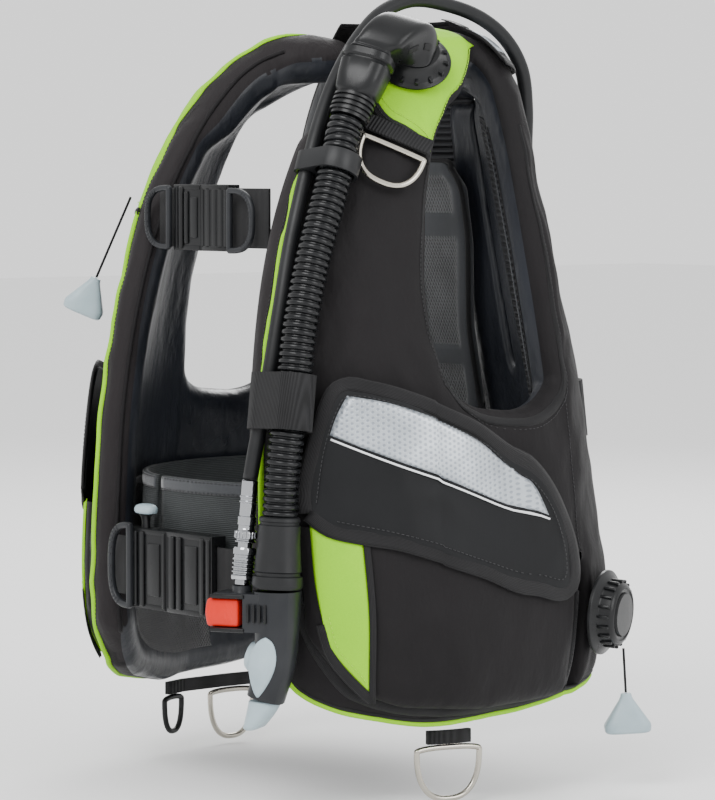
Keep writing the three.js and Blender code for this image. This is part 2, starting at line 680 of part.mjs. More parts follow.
// ---------------------------------------------------------------- belts and side-release buckles
// A belt runs between the two front edges; the pieces are drawn about its centre.
function buckle(name, size) {
  const { z, y, half, left, right, height, thickness, travel } = size;
  const holder = new THREE.Group();
  holder.position.set(0, y, z);
  vest.add(holder);
  const beltHalf = webbingWidth / 2;
  const slotHalf = webbing / 2 + fit;
  const split = size.split;
  const hollow = (x0, x1) => box(x0, x1, -slotHalf, slotHalf, -beltHalf - 1, beltHalf + 1);
  // Female half: a case open towards the male half, with a slot for the belt behind.
  const cavityHalf = thickness / 2 - 2.2;
  const frontBody = box(right, split, -thickness / 2, thickness / 2, -height / 2, height / 2);
  const mouth = box(right + 16, split + 5, -cavityHalf, cavityHalf, -height / 2 + 4, height / 2 - 4);
  add(`${name}_buckle_female`, cut(frontBody, mouth, hollow(right - 5, right + 12)), 'plastic', holder);
  // Male half: a case that the belt runs into, with two prongs and a guide in the female half.
  const caseBody = box(split + fit, left, -thickness / 2, thickness / 2, -height / 2, height / 2);
  const prong = (z0, z1, reach) => box(split - reach, split + 4, -cavityHalf + fit, cavityHalf - fit, z0, z1);
  const inner = height / 2 - 5;
  const maleBody = join(caseBody, prong(-inner, -inner + 9, size.reach), prong(inner - 9, inner, size.reach),
    prong(-4, 4, size.reach - 6));
  add(`${name}_buckle_male`, cut(maleBody, hollow(left - 6 - travel, left + 5)), 'plastic', holder);
  // Belt ends, from each front edge into the buckle.
  const belt = (x0, x1) => box(x0, x1, -webbing / 2, webbing / 2, -beltHalf, beltHalf);
  add(`${name}_strap_right`, belt(-half, right + 10), 'belt', holder);
  add(`${name}_strap_left`, belt(left - 5, half), 'belt', holder);
  return holder;
}

const chestEdge = surface(along(frontEdge, chestHeight), chestHeight);
const waistEdge = surface(along(frontEdge, waistHeight), waistHeight);
const edgeInset = 12;            // belt ends stop short of the rounded front edges
const chestThickness = 13;
const waistThickness = 15;
// The waist belt lies just in front of the cummerbund.
const waistBeltY = surface(0, waistHeight, -lobeThickness - beltClear).y - waistThickness / 2 - 1.5 * fit;
const chest = buckle('chest', {
  z: chestHeight * heightScale, y: chestEdge.y + 14, half: chestEdge.x - edgeInset,
  right: -48, split: -10, left: 27, reach: 20, height: 56, thickness: chestThickness, travel: 22,
});
const waist = buckle('waist', {
  z: waistHeight * heightScale, y: waistBeltY, half: waistEdge.x - edgeInset,
  right: -66, split: -8, left: 54, reach: 32, height: 68, thickness: waistThickness, travel: 30,
});

// Finger loops: a hinge bar and a D-shaped pull that lies over the belt.
const fingerLoop = (reach, halfHeight, wire) => wireRing((phi) => {
  const s = Math.sin(phi);
  const c = Math.cos(phi);
  const x = c > 0 ? reach * c ** 0.7 : 0.4 * c;
  return vec(x, 0, halfHeight * Math.sign(s) * Math.abs(s) ** 0.7);
}, wire);

const chestLoopY = -chestThickness / 2 - 3.6;
const rightLoop = add('chest_loop_right', fingerLoop(30, 25, 5), 'greyPlastic', chest);
rightLoop.position.set(-50, chestLoopY, 0);
rightLoop.scale.x = -1;
const leftLoop = add('chest_loop_left', fingerLoop(30, 25, 5), 'greyPlastic', chest);
leftLoop.position.set(34, chestLoopY, -2);

const waistLoopY = -waistThickness / 2 - 4.2;
const waistLoop = add('waist_pull_loop', fingerLoop(26, 34, 6), 'greyPlastic', waist);
waistLoop.position.set(-54, waistLoopY, 2);
waistLoop.scale.x = -1;

// ---------------------------------------------------------------- D-rings and their tabs
const leftTab = [70, 85];        // where the tabs are sewn under the hem, as angles
const rightTab = [71, 101];
const ringHalf = 29;
const ringDrop = 40;
const tabHang = 14;              // tab below the hem

// A sewn tab under the hem between two angles, and the ring hanging from it.
function hemTab(side, from, to) {
  return panel(3, 2, (u, v, w) => {
    const theta = lerp(from, to, u);
    const z = along(hemLine, (from + to) / 2);
    const top = surface(theta, z);
    const inward = surface(theta, z, -6).sub(top);
    const place = top.addScaledVector(inward, lerp(2.4, 3.2, w)).add(vec(0, 0, lerp(-tabHang, -2.6, v)));
    return place.multiply(vec(side, 1, 1));
  });
}

function hangRing(name, side, tab, from, to, half, drop) {
  const z = along(hemLine, (tab[0] + tab[1]) / 2);
  const [a, b] = [from, to].map((theta) => surface(theta, z, -16.8).multiply(vec(side, 1, 1)));
  const middle = a.clone().add(b).multiplyScalar(0.5).add(vec(0, 0, -tabHang - ringWire / 2 - barBow - fit));
  const holder = placed(middle, b.clone().sub(a), vec(0, 0, 1));
  vest.add(holder);
  add(name, wireRing(dOutline(half, drop), ringWire), 'steel', holder);
}

add('left_hem_tab', hemTab(1, ...leftTab), 'belt');
hangRing('left_hem_ring', 1, leftTab, 70, 85, ringHalf, ringDrop);
add('right_hem_tab', hemTab(-1, ...rightTab), 'belt');
hangRing('right_hem_ring', -1, rightTab, 88, 101, ringHalf - 5, ringDrop);
hangRing('right_small_ring', -1, rightTab, 71, 79, 14, 28);

// Ring on the left chest, hanging from a stiff strip under the shoulder panel.
const ringAside = 0.9 + (hoseRadius - 14.5) * 0.4;     // degrees that keep the ring beside the hose clip
const stripFrom = raised(53 + ringAside, 490, 7);
const stripTo = raised(69.5 + ringAside, 472, 7);
const stripMiddle = stripFrom.clone().add(stripTo).multiplyScalar(0.5);
const stripUp = surface(60, 520).sub(surface(59, 460)).normalize();
const strip = placed(stripMiddle, stripTo.clone().sub(stripFrom), stripUp);
vest.add(strip);
add('chest_ring_strip', box(-29, 29, -2, 2, 5.5 + fit, 20), 'belt', strip);
add('left_chest_ring', wireRing(dOutline(27, 33), ringWire), 'steel', strip);

// ---------------------------------------------------------------- dump valves and their pulls
const cordWire = 2.2;

// Flange, ribbed body and cap, turned about the valve's own axis.
function dumpValve(radius) {
  return turned([
    [0, 0], [radius, 0], [radius, 3], [radius - 4, 6], [radius - 7, 7],
    [radius - 9, 17], [radius - 13, 21], [0, 21],
  ], 28);
}

const knobProfile = (length, wide) => [
  [0, 0], [4, 0], [5, 3], [wide, length - 7], [wide - 2, length], [0, length],
];

// Pull cord from a guide to its knob, drawn straight down the local -z axis.
function addPull(prefix, start, end, length, wide) {
  const down = end.clone().sub(start);
  const pull = facing(start, down, vec(1, 0.2, 0));
  vest.add(pull);
  const run = down.length();
  const line = [vec(0, 0, -2), vec(0, 0, run / 2), vec(0, 0, run - fit)];
  const knob = knobProfile(length, wide).map(([r, h]) => [r, h + run]);
  add(`${prefix}_dump_cord`, cord(line, cordWire, 8, 8), 'belt', pull);
  add(`${prefix}_dump_knob`, turned(knob, 8), 'paleGrey', pull);
}

const valveSpot = [115, 92];
const valve = facing(raised(...valveSpot, 5.5), outward(...valveSpot), vec(0, 0, 1));
vest.add(valve);
add('left_dump_valve', dumpValve(valveRadius), 'plastic', valve);
const leftPullTop = raised(119, valveSpot[1] - valveRadius + 6, 25);
addPull('left', leftPullTop, leftPullTop.clone().add(vec(2, 1, -36)), 34, 20);

const rightValveSpot = [132, 470];
const rightValve = new THREE.Group();
rightValve.scale.x = -1;
vest.add(rightValve);
const rightSeat = facing(raised(...rightValveSpot, 4.5), outward(...rightValveSpot), vec(0, 0, 1));
rightValve.add(rightSeat);
add('right_dump_valve', dumpValve(28), 'plastic', rightSeat);
const mirrored = vec(-1, 1, 1);
const rightPullTop = raised(44, 436, 12).multiply(mirrored);
const rightPullEnd = raised(46, 366, 24).multiply(mirrored);
addPull('right', rightPullTop, rightPullEnd, 34, 18);

// ---------------------------------------------------------------- frame
// The origin is the middle of the tank cradle, on the rear faces of its two ribs.
const cradle = vec(0, ribHeight, 0).applyAxisAngle(vec(1, 0, 0), plateTilt).add(plateCentre);
vest.position.copy(cradle).negate();
const group = new THREE.Group();
group.add(vest);

export default group;
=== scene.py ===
# Jacket-style buoyancy vest: sewn shells, pockets, inflator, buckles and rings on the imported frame.
import math

import bmesh
import bpy
import numpy as np
from mathutils import Matrix, Vector, noise
from mathutils.bvhtree import BVHTree


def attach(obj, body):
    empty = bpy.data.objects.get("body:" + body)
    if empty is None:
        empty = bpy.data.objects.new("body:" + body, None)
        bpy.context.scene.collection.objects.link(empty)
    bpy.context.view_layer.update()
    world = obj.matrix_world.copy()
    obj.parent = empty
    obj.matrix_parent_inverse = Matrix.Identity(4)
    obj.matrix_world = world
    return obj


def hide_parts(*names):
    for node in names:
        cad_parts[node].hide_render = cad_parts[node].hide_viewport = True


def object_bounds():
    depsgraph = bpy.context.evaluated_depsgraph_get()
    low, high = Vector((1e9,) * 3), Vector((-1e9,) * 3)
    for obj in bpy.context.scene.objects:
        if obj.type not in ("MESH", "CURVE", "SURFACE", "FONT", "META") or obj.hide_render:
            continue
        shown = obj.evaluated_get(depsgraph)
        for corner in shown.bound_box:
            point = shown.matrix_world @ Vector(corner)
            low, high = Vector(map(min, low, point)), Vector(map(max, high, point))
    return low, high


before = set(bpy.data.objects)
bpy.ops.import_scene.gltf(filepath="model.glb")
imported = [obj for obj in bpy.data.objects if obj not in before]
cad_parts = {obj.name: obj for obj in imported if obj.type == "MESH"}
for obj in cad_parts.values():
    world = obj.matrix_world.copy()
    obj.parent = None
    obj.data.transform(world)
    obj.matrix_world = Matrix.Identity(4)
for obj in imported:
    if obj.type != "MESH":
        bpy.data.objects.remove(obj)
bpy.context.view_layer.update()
scene = bpy.context.scene


# Everything is drawn in millimetres with the hem at z = 0, then put in the frame by place().
cradle = np.array([0, 159.91, 326.34])


def place(points):
    return (np.asarray(points, float) - cradle) / 1000


def spot(x, y, z):
    return Vector(place([x, y, z]))


def unit(v):
    v = np.asarray(v, float)
    return v / np.linalg.norm(v)


# Camera and light
view = {"azimuth": 50, "height": 3, "distance": 3.2, "lens": 165.5, "shiftX": 0.0094, "shiftY": -0.05}


def makeCamera():
    data = bpy.data.cameras.new("camera")
    camera = bpy.data.objects.new("camera", data)
    scene.collection.objects.link(camera)
    a, e = math.radians(view["azimuth"]), math.radians(view["height"])
    back = Vector((math.sin(a) * math.cos(e), -math.cos(a) * math.cos(e), math.sin(e)))
    camera.location = spot(0, 0, 300) + back * view["distance"]
    camera.rotation_mode = "QUATERNION"
    camera.rotation_quaternion = (-back).to_track_quat("-Z", "Y")
    data.lens = view["lens"]
    data.shift_x = view["shiftX"]
    data.shift_y = view["shiftY"]
    data.clip_start = 0.05
    data.clip_end = 50
    scene.camera = camera


def areaLight(name, at, target, size, power, tint=(1, 1, 1)):
    data = bpy.data.lights.new(name, "AREA")
    data.shape = "RECTANGLE"
    data.size, data.size_y = size
    data.energy = power
    data.color = tint
    lamp = bpy.data.objects.new(name, data)
    lamp.location = at
    lamp.rotation_mode = "QUATERNION"
    lamp.rotation_quaternion = (Vector(target) - Vector(at)).to_track_quat("-Z", "Y")
    scene.collection.objects.link(lamp)


makeCamera()


# Outer surface of the vest
# height, half width, depth to the front, depth to the back
girth = np.array([
    [0, 204, 196, 150], [50, 215, 212, 158], [110, 220, 219, 164], [190, 212, 220, 156],
    [280, 203, 215, 141], [370, 187, 200, 127], [440, 173, 177, 118], [500, 157, 144, 113],
    [545, 136, 106, 110], [575, 104, 81, 100], [592, 66, 59, 74],
], float)
perDegree = 3.5                 # cloth in one degree round the vest
edgeLead = 26.5                 # front edge of each side, degrees from the middle
hemLine = [(20, 82), (26, 70), (33, 44), (38, 27), (47, 15), (68, 3), (89, 8), (102, 16), (122, 24),
           (150, 30), (180, 32)]
frontEdge = [(0, edgeLead - 0.5), (300, edgeLead), (440, edgeLead + 1.5), (493.6, edgeLead + 2.5)]
armFront = [(0, 78), (298, 78), (334, 74.5), (374, 73.5), (440, 75.5), (478, 79), (493.6, 81.5)]
armBottom = [(78, 297), (82, 281), (86, 272), (92, 267), (97, 270), (102, 278), (107, 292)]
armRear = [(0, 107), (292, 107), (326, 108), (394, 110), (448, 111), (502, 112), (528, 112.5)]
neckEdge = [(29, 493.6), (37, 524), (54, 562), (80, 586), (108, 590), (140, 574), (160, 528)]
armEdge = [(81.5, 493.6), (87, 516), (95, 545), (104, 566), (111, 570), (113, 552), (112.5, 528)]


def column(col, z):
    xs, ys = girth[:, 0], girth[:, col]
    last = len(xs) - 1
    a, b = np.maximum(np.arange(last + 1) - 1, 0), np.minimum(np.arange(last + 1) + 1, last)
    slopes = (ys[b] - ys[a]) / (xs[b] - xs[a])
    i = np.searchsorted(xs[1:-1], z, side="left")
    h = xs[i + 1] - xs[i]
    t = (z - xs[i]) / h
    return ((2 * t**3 - 3 * t**2 + 1) * ys[i] + (t**3 - 2 * t**2 + t) * h * slopes[i]
            + (-2 * t**3 + 3 * t**2) * ys[i + 1] + (t**3 - t**2) * h * slopes[i + 1])


def surface(theta, z):
    theta, z = np.broadcast_arrays(np.asarray(theta, float), np.asarray(z, float))
    s, c = np.sin(np.radians(theta)), np.cos(np.radians(theta))
    squareness = 2.15 + 1.25 * (0.5 - 0.5 * np.clip(c * 3, -1, 1))
    e = 2 / squareness
    depth = np.where(c > 0, -column(2, z), column(3, z))
    return np.stack([column(1, z) * np.sign(s) * np.abs(s)**e, depth * np.abs(c)**e, z], -1)


def outward(theta, z):
    step = 0.6
    theta, z = np.broadcast_arrays(np.asarray(theta, float), np.asarray(z, float))
    across = surface(theta + step, z) - surface(theta - step, z)
    up = surface(theta, np.minimum(z + step, 592)) - surface(theta, z - step)
    n = np.cross(across, up)
    return n / np.linalg.norm(n, axis=-1, keepdims=True)


def raised(theta, z, lift):
    return surface(theta, z) + outward(theta, z) * np.asarray(lift, float)[..., None]


def reading(points, x):
    xs, ys = zip(*points)
    return np.interp(x, xs, ys)


# Even steps along a smooth curve through the points.
def smoothLine(points, count):
    p = np.asarray(points, float)
    if len(p) > 2:
        ends = [2 * p[0] - p[1], *p, 2 * p[-1] - p[-2]]
        out = []
        for a, b, c, d in zip(ends, ends[1:], ends[2:], ends[3:]):
            t = np.linspace(0, 1, 24, endpoint=False)[:, None]
            out.append(0.5 * (2 * b + (c - a) * t + (2 * a - 5 * b + 4 * c - d) * t**2
                              + (3 * b - a - 3 * c + d) * t**3))
        p = np.vstack([*out, p[-1:]])
    run = np.concatenate([[0], np.cumsum(np.linalg.norm(np.diff(p, axis=0), axis=1))])
    at = np.linspace(0, run[-1], count)
    return np.stack([np.interp(at, run, p[:, k]) for k in range(p.shape[1])], -1)


# Distance from each point to a polyline.
def nearest(points, line):
    best = np.full(len(points), 1e9)
    for a, b in zip(line, line[1:]):
        d = b - a
        t = np.clip(((points - a) @ d) / max(d @ d, 1e-9), 0, 1)
        best = np.minimum(best, np.linalg.norm(points - a - t[:, None] * d, axis=1))
    return best


# Mesh helpers
# A grid whose corners go where placed(u, v) says; cloth holds its lie in metres.
def drawPatch(bm, nu, nv, placed, material=0, flip=False):
    layer = bm.verts.layers.float_vector.get("cloth") or bm.verts.layers.float_vector.new("cloth")
    made = bmesh.ops.create_grid(bm, x_segments=nu, y_segments=nv, size=0.5)["verts"]
    uv = np.array([(v.co.x + 0.5, v.co.y + 0.5) for v in made])
    points, lie = placed(uv[:, 0], uv[:, 1])
    for v, p, l in zip(made, place(points), lie):
        v.co = p
        v[layer] = (l[0] / 1000, l[1] / 1000, 0)
    faces = list({f for v in made for f in v.link_faces})
    for f in faces:
        f.material_index = material
    if flip:
        bmesh.ops.reverse_faces(bm, faces=faces)
    return made


def asObject(bm, name, materials, body="vest", nodes=(), levels=0, smooth=True):
    mesh = bpy.data.meshes.new(name)
    bm.normal_update()
    bm.to_mesh(mesh)
    bm.free()
    for m in materials if isinstance(materials, (list, tuple)) else [materials]:
        mesh.materials.append(m)
    if smooth:
        mesh.shade_smooth()
    obj = bpy.data.objects.new(name, mesh)
    scene.collection.objects.link(obj)
    if smooth == "edges":
        mesh.set_sharp_from_angle(angle=math.radians(38))
    if levels:
        soften(obj, levels)
    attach(obj, body)
    if nodes:
        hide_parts(*nodes)
    return obj


# The wearer's right-hand copy of a left-hand shape.
def mirrored(bm):
    bmesh.ops.scale(bm, vec=(-1, 1, 1), verts=bm.verts)
    bmesh.ops.reverse_faces(bm, faces=bm.faces)
    return bm


# A grid rolled round a path. radius is a number, or a function of t giving (across, up, squareness).
def drawTube(bm, path, radius, around=16, along=None, closed=False, side=None, caps=True, material=0):
    n = along or len(path)
    layer = bm.verts.layers.float_vector.get("cloth") or bm.verts.layers.float_vector.new("cloth")
    line = smoothLine([*path, path[0]] if closed else path, n + 1)
    if closed:
        ring = np.asarray(path, float)
        line = smoothLine([*ring[-3:], *ring, *ring[:4]], 40 * len(ring))
        starts = [int(np.argmin(np.linalg.norm(line[:len(line) // 2] - ring[0], axis=1)))]
        ends = len(line) // 2 + int(np.argmin(np.linalg.norm(line[len(line) // 2:] - ring[0], axis=1)))
        line = smoothLine(line[starts[0]:ends + 1], n + 1)
        line[-1] = line[0]
    tangent = np.gradient(line, axis=0)
    if closed:
        tangent[0] = tangent[-1] = line[1] - line[-2]
    tangent /= np.linalg.norm(tangent, axis=1, keepdims=True)
    if side is None:
        first = np.cross(tangent[0], [0.3, 0.2, 1])
        across = [first / np.linalg.norm(first)]
        for t in tangent[1:]:
            a = across[-1] - t * (across[-1] @ t)
            across.append(a / np.linalg.norm(a))
        across = np.array(across)
        if closed:        # shares out the twist so that the ends meet
            up = np.cross(tangent[-1], across[-1])
            twist = math.atan2(across[0] @ up, across[0] @ across[-1])
            w = np.linspace(0, twist, n + 1)[:, None]
            across = across * np.cos(w) + np.cross(tangent, across) * np.sin(w)
    else:
        s = np.asarray(side, float)
        across = s - tangent * (tangent @ s)[:, None]
        across /= np.linalg.norm(across, axis=1, keepdims=True)
    up = np.cross(tangent, across)
    run = np.concatenate([[0], np.cumsum(np.linalg.norm(np.diff(line, axis=0), axis=1))])
    made = bmesh.ops.create_grid(bm, x_segments=around, y_segments=n, size=0.5)["verts"]
    for v in made:
        u, k = v.co.x + 0.5, int(round((v.co.y + 0.5) * n))
        w, h, sq = radius(k / n) if callable(radius) else (radius, radius, 2)
        a = 2 * math.pi * u
        c, s = math.cos(a), math.sin(a)
        e = 2 / sq
        p = (line[k] + across[k] * w * math.copysign(abs(c)**e, c)
             + up[k] * h * math.copysign(abs(s)**e, s))
        v.co = place(p)
        v[layer] = (u * w * 6.28 / 1000, run[k] / 1000, 0)
    faces = list({f for v in made for f in v.link_faces})
    for f in faces:
        f.material_index = material
    bmesh.ops.remove_doubles(bm, verts=made, dist=1e-6)
    if caps and not closed:
        rim = [e for e in {e for f in faces if f.is_valid for e in f.edges} if e.is_boundary]
        for f in bmesh.ops.holes_fill(bm, edges=rim, sides=0)["faces"]:
            f.material_index = material
    bmesh.ops.recalc_face_normals(bm, faces=[f for f in bm.faces if f.material_index == material])


# Turned body about its own z, from (radius, height) in millimetres; left in metres at the origin.
def drawTurned(bm, profile, steps=32):
    verts = [bm.verts.new((r / 1000, 0, h / 1000)) for r, h in profile]
    edges = [bm.edges.new(pair) for pair in zip(verts, verts[1:])]
    bmesh.ops.spin(bm, geom=verts + edges, cent=(0, 0, 0), axis=(0, 0, 1), dvec=(0, 0, 0),
                   angle=2 * math.pi, steps=steps, use_merge=True, use_duplicate=False)
    bmesh.ops.remove_doubles(bm, verts=bm.verts, dist=1e-6)
    bmesh.ops.recalc_face_normals(bm, faces=bm.faces)


# A block between two corners, in millimetres about the piece's own origin, with eased edges.
def drawBlock(bm, lo, hi, bevel=1.0, segments=2):
    lo, hi = np.array(lo, float), np.array(hi, float)
    verts = bmesh.ops.create_cube(bm, size=1)["verts"]
    for v in verts:
        v.co = Vector((lo + hi) / 2 + (hi - lo) * np.array(v.co)) / 1000
    edges = list({e for v in verts for e in v.link_edges})
    bmesh.ops.bevel(bm, geom=edges, offset=bevel / 1000, offset_type="OFFSET", segments=segments,
                    profile=0.5, affect="EDGES", material=-1, clamp_overlap=True)


# Adds a finished part to a shape.
def joined(bm, part):
    mesh = bpy.data.meshes.new("part")
    part.to_mesh(mesh)
    part.free()
    bm.from_mesh(mesh)
    bpy.data.meshes.remove(mesh)


# The same block set round z.
def ringOfBlocks(bm, count, lo, hi, bevel, segments):
    for k in range(count):
        part = bmesh.new()
        drawBlock(part, lo, hi, bevel, segments)
        turn = Matrix.Rotation(2 * math.pi * k / count, 3, "Z")
        bmesh.ops.rotate(part, matrix=turn, verts=part.verts)
        joined(bm, part)


# Gives a sheet its thickness, in millimetres, inwards.
def thicken(obj, thickness):
    mod = obj.modifiers.new("thickness", "SOLIDIFY")
    mod.thickness = thickness / 1000
    mod.offset = -1


def soften(obj, levels=1):
    mod = obj.modifiers.new("smooth", "SUBSURF")
    mod.levels = mod.render_levels = levels


# Matrix of a local frame: z along zAxis with x near xHint, or x along xAxis with z near zHint.
def seat(origin, zAxis=None, xAxis=None, xHint=None, zHint=None):
    if zAxis is not None:
        z = Vector(zAxis).normalized()
        x = Vector(xHint)
        x = (x - z * x.dot(z)).normalized()
    else:
        x = Vector(xAxis).normalized()
        z = Vector(zHint)
        z = (z - x * z.dot(x)).normalized()
    y = z.cross(x)
    m = Matrix((x, y, z)).transposed().to_4x4()
    m.translation = origin
    return m


def framed(origin, **turn):
    m = seat(spot(*origin), **turn)
    axes = np.array(m.to_3x3()).T
    return m, lambda points: np.asarray(origin, float) + np.asarray(points, float) @ axes


def finished(bm, matrix):
    bmesh.ops.transform(bm, matrix=matrix, verts=bm.verts)
    return bm


# Cross-sections (centre, across, up, half width, half height, squareness), in millimetres, joined in
# turn.
def drawLoft(bm, sections, around=24, material=0):
    n = len(sections) - 1
    made = bmesh.ops.create_grid(bm, x_segments=around, y_segments=n, size=0.5)["verts"]
    for v in made:
        u, k = v.co.x + 0.5, int(round((v.co.y + 0.5) * n))
        centre, across, up, w, h, sq = sections[k]
        c, s = math.cos(2 * math.pi * u), math.sin(2 * math.pi * u)
        v.co = place(np.asarray(centre) + across * (w * math.copysign(abs(c)**(2 / sq), c))
                     + up * (h * math.copysign(abs(s)**(2 / sq), s)))
    faces = list({f for v in made for f in v.link_faces})
    for f in faces:
        f.material_index = material
    bmesh.ops.remove_doubles(bm, verts=made, dist=1e-6)
    rim = [e for e in {e for f in faces if f.is_valid for e in f.edges} if e.is_boundary]
    for f in bmesh.ops.holes_fill(bm, edges=rim, sides=0)["faces"]:
        f.material_index = material
    bmesh.ops.recalc_face_normals(bm, faces=bm.faces)


# A merged copy of a CAD node with eased edges.
def refined(node, bevel=0.8, segments=2):
    bm = bmesh.new()
    bm.from_mesh(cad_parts[node].data)
    bmesh.ops.remove_doubles(bm, verts=bm.verts, dist=2e-5)
    bmesh.ops.dissolve_limit(bm, angle_limit=math.radians(1.5), verts=bm.verts, edges=bm.edges)
    bmesh.ops.recalc_face_normals(bm, faces=bm.faces)
    sharp = [e for e in bm.edges if len(e.link_faces) == 2 and e.calc_face_angle(0) > math.radians(28)]
    bmesh.ops.bevel(bm, geom=sharp, offset=bevel / 1000, offset_type="OFFSET", segments=segments,
                    profile=0.5,
                    affect="EDGES", material=-1, clamp_overlap=True)
    return bm


# Materials
def startMaterial(name, rough=0.6, metal=0.0, base=(0.5, 0.5, 0.5), **constant):
    m = bpy.data.materials.new(name)
    m.use_nodes = True
    nodes, links = m.node_tree.nodes, m.node_tree.links
    shader = nodes["Principled BSDF"]
    shader.inputs["Base Color"].default_value = (*base, 1)
    shader.inputs["Roughness"].default_value = rough
    shader.inputs["Metallic"].default_value = metal
    for key, value in constant.items():
        shader.inputs[key.replace("_", " ")].default_value = value
    return m, nodes, links, shader


# Coordinates in metres: along the cloth where the piece has them, else in the object.
def lieOf(nodes, links, cloth, scale=(1, 1, 1), turn=0):
    if cloth:
        source = nodes.new("ShaderNodeAttribute")
        source.attribute_name = "cloth"
        out = source.outputs["Vector"]
    else:
        out = nodes.new("ShaderNodeTexCoord").outputs["Object"]
    mapping = nodes.new("ShaderNodeMapping")
    mapping.inputs["Scale"].default_value = scale
    mapping.inputs["Rotation"].default_value = (0, 0, math.radians(turn))
    links.new(out, mapping.inputs["Vector"])
    return mapping.outputs["Vector"]


def noiseOf(nodes, links, vector, scale, detail=3, rough=0.55):
    n = nodes.new("ShaderNodeTexNoise")
    n.inputs["Scale"].default_value = scale
    n.inputs["Detail"].default_value = detail
    n.inputs["Roughness"].default_value = rough
    links.new(vector, n.inputs["Vector"])
    return n.outputs["Fac"]


# Bands a pitch apart, in metres.
def wavesOf(nodes, links, vector, pitch, direction, distortion=0.0):
    w = nodes.new("ShaderNodeTexWave")
    w.wave_type = "BANDS"
    w.bands_direction = direction
    w.inputs["Scale"].default_value = math.pi / 10 / pitch
    w.inputs["Distortion"].default_value = distortion
    w.inputs["Detail"].default_value = 1
    links.new(vector, w.inputs["Vector"])
    return w.outputs["Fac"]


def mathOf(nodes, links, operation, a, b):
    n = nodes.new("ShaderNodeMath")
    n.operation = operation
    for socket, value in zip(n.inputs, (a, b)):
        if isinstance(value, (int, float)):
            socket.default_value = value
        else:
            links.new(value, socket)
    return n.outputs[0]


def rampOf(nodes, links, value, *stops):
    r = nodes.new("ShaderNodeValToRGB")
    ramp = r.color_ramp
    while len(ramp.elements) < len(stops):
        ramp.elements.new(0.5)
    for e, (at, color) in zip(ramp.elements, stops):
        e.position = at
        e.color = (*color, 1) if isinstance(color, (tuple, list)) else (color, color, color, 1)
    links.new(value, r.inputs["Fac"])
    return r.outputs["Color"]


def bumpOf(nodes, links, height, distance, strength=1.0, under=None):
    b = nodes.new("ShaderNodeBump")
    b.inputs["Distance"].default_value = distance
    b.inputs["Strength"].default_value = strength
    links.new(height, b.inputs["Height"])
    if under is not None:
        links.new(under, b.inputs["Normal"])
    return b.outputs["Normal"]


# Plain weave: crossing threads, soft creases and a faint change of shade.
def wovenMaterial(name, dark, light, rough, thread=0.0006, weave=0.5, crease=1.2, cloth=True, sheen=0.3,
                  tint=None, creaseScale=26, gloss=0.16):
    m, nodes, links, shader = startMaterial(name, rough, Sheen_Weight=sheen, Sheen_Roughness=0.45,
                                            Specular_IOR_Level=gloss)
    vector = lieOf(nodes, links, cloth)
    body = lieOf(nodes, links, False)
    warp = wavesOf(nodes, links, vector, thread, "X", 0.4)
    weft = wavesOf(nodes, links, vector, thread, "Y", 0.4)
    threads = mathOf(nodes, links, "MAXIMUM", warp, weft)
    stretched = lieOf(nodes, links, False, (1, 1, 0.45), 25)
    creases = noiseOf(nodes, links, stretched, creaseScale, 4, 0.5)
    shade = noiseOf(nodes, links, body, 9, 3)
    speck = noiseOf(nodes, links, body, 900, 2)
    mixed = mathOf(nodes, links, "MULTIPLY_ADD", shade, 0.7)
    links.new(mathOf(nodes, links, "MULTIPLY", speck, 0.35), mixed.node.inputs[2])
    links.new(rampOf(nodes, links, mixed, (0.3, dark), (0.75, light)), shader.inputs["Base Color"])
    links.new(rampOf(nodes, links, shade, (0.3, rough - 0.06), (0.7, rough + 0.08)),
              shader.inputs["Roughness"])
    soft = bumpOf(nodes, links, creases, 0.004, crease)
    links.new(bumpOf(nodes, links, threads, 0.00012, weave, soft), shader.inputs["Normal"])
    if tint:
        shader.inputs["Sheen Tint"].default_value = (*tint, 1)
    return m


# Ribs a pitch apart, such as belt webbing or gathered elastic, with shade painted into the grooves.
def ribbedMaterial(name, dark, light, pitch, direction="Y", depth=0.0006, rough=0.6, cloth=True,
                   cross=None):
    m, nodes, links, shader = startMaterial(name, rough, Sheen_Weight=0.04, Sheen_Roughness=0.5,
                                            Specular_IOR_Level=0.2)
    vector = lieOf(nodes, links, cloth)
    ribs = wavesOf(nodes, links, vector, pitch, direction, 0.3)
    body = lieOf(nodes, links, False)
    shade = noiseOf(nodes, links, body, 30, 3)
    fine = noiseOf(nodes, links, body, 700, 2)
    # Base colour follows the ribs: the grooves are painted dark as shade and the crests light as lit
    # cloth, plus a random change of tone.
    mixed = mathOf(nodes, links, "MULTIPLY_ADD", ribs, 0.6)
    links.new(mathOf(nodes, links, "MULTIPLY", shade, 0.5), mixed.node.inputs[2])
    links.new(rampOf(nodes, links, mixed, (0.2, dark), (0.85, light)), shader.inputs["Base Color"])
    height = ribs
    if cross:
        other = wavesOf(nodes, links, vector, cross, "X" if direction == "Y" else "Y", 0.2)
        height = mathOf(nodes, links, "MULTIPLY", ribs, rampOf(nodes, links, other, (0.1, 0.55),
                                                               (0.6, 1.0)))
    coarse = bumpOf(nodes, links, height, depth, 1.0)
    links.new(bumpOf(nodes, links, fine, 0.00008, 0.5, coarse), shader.inputs["Normal"])
    return m


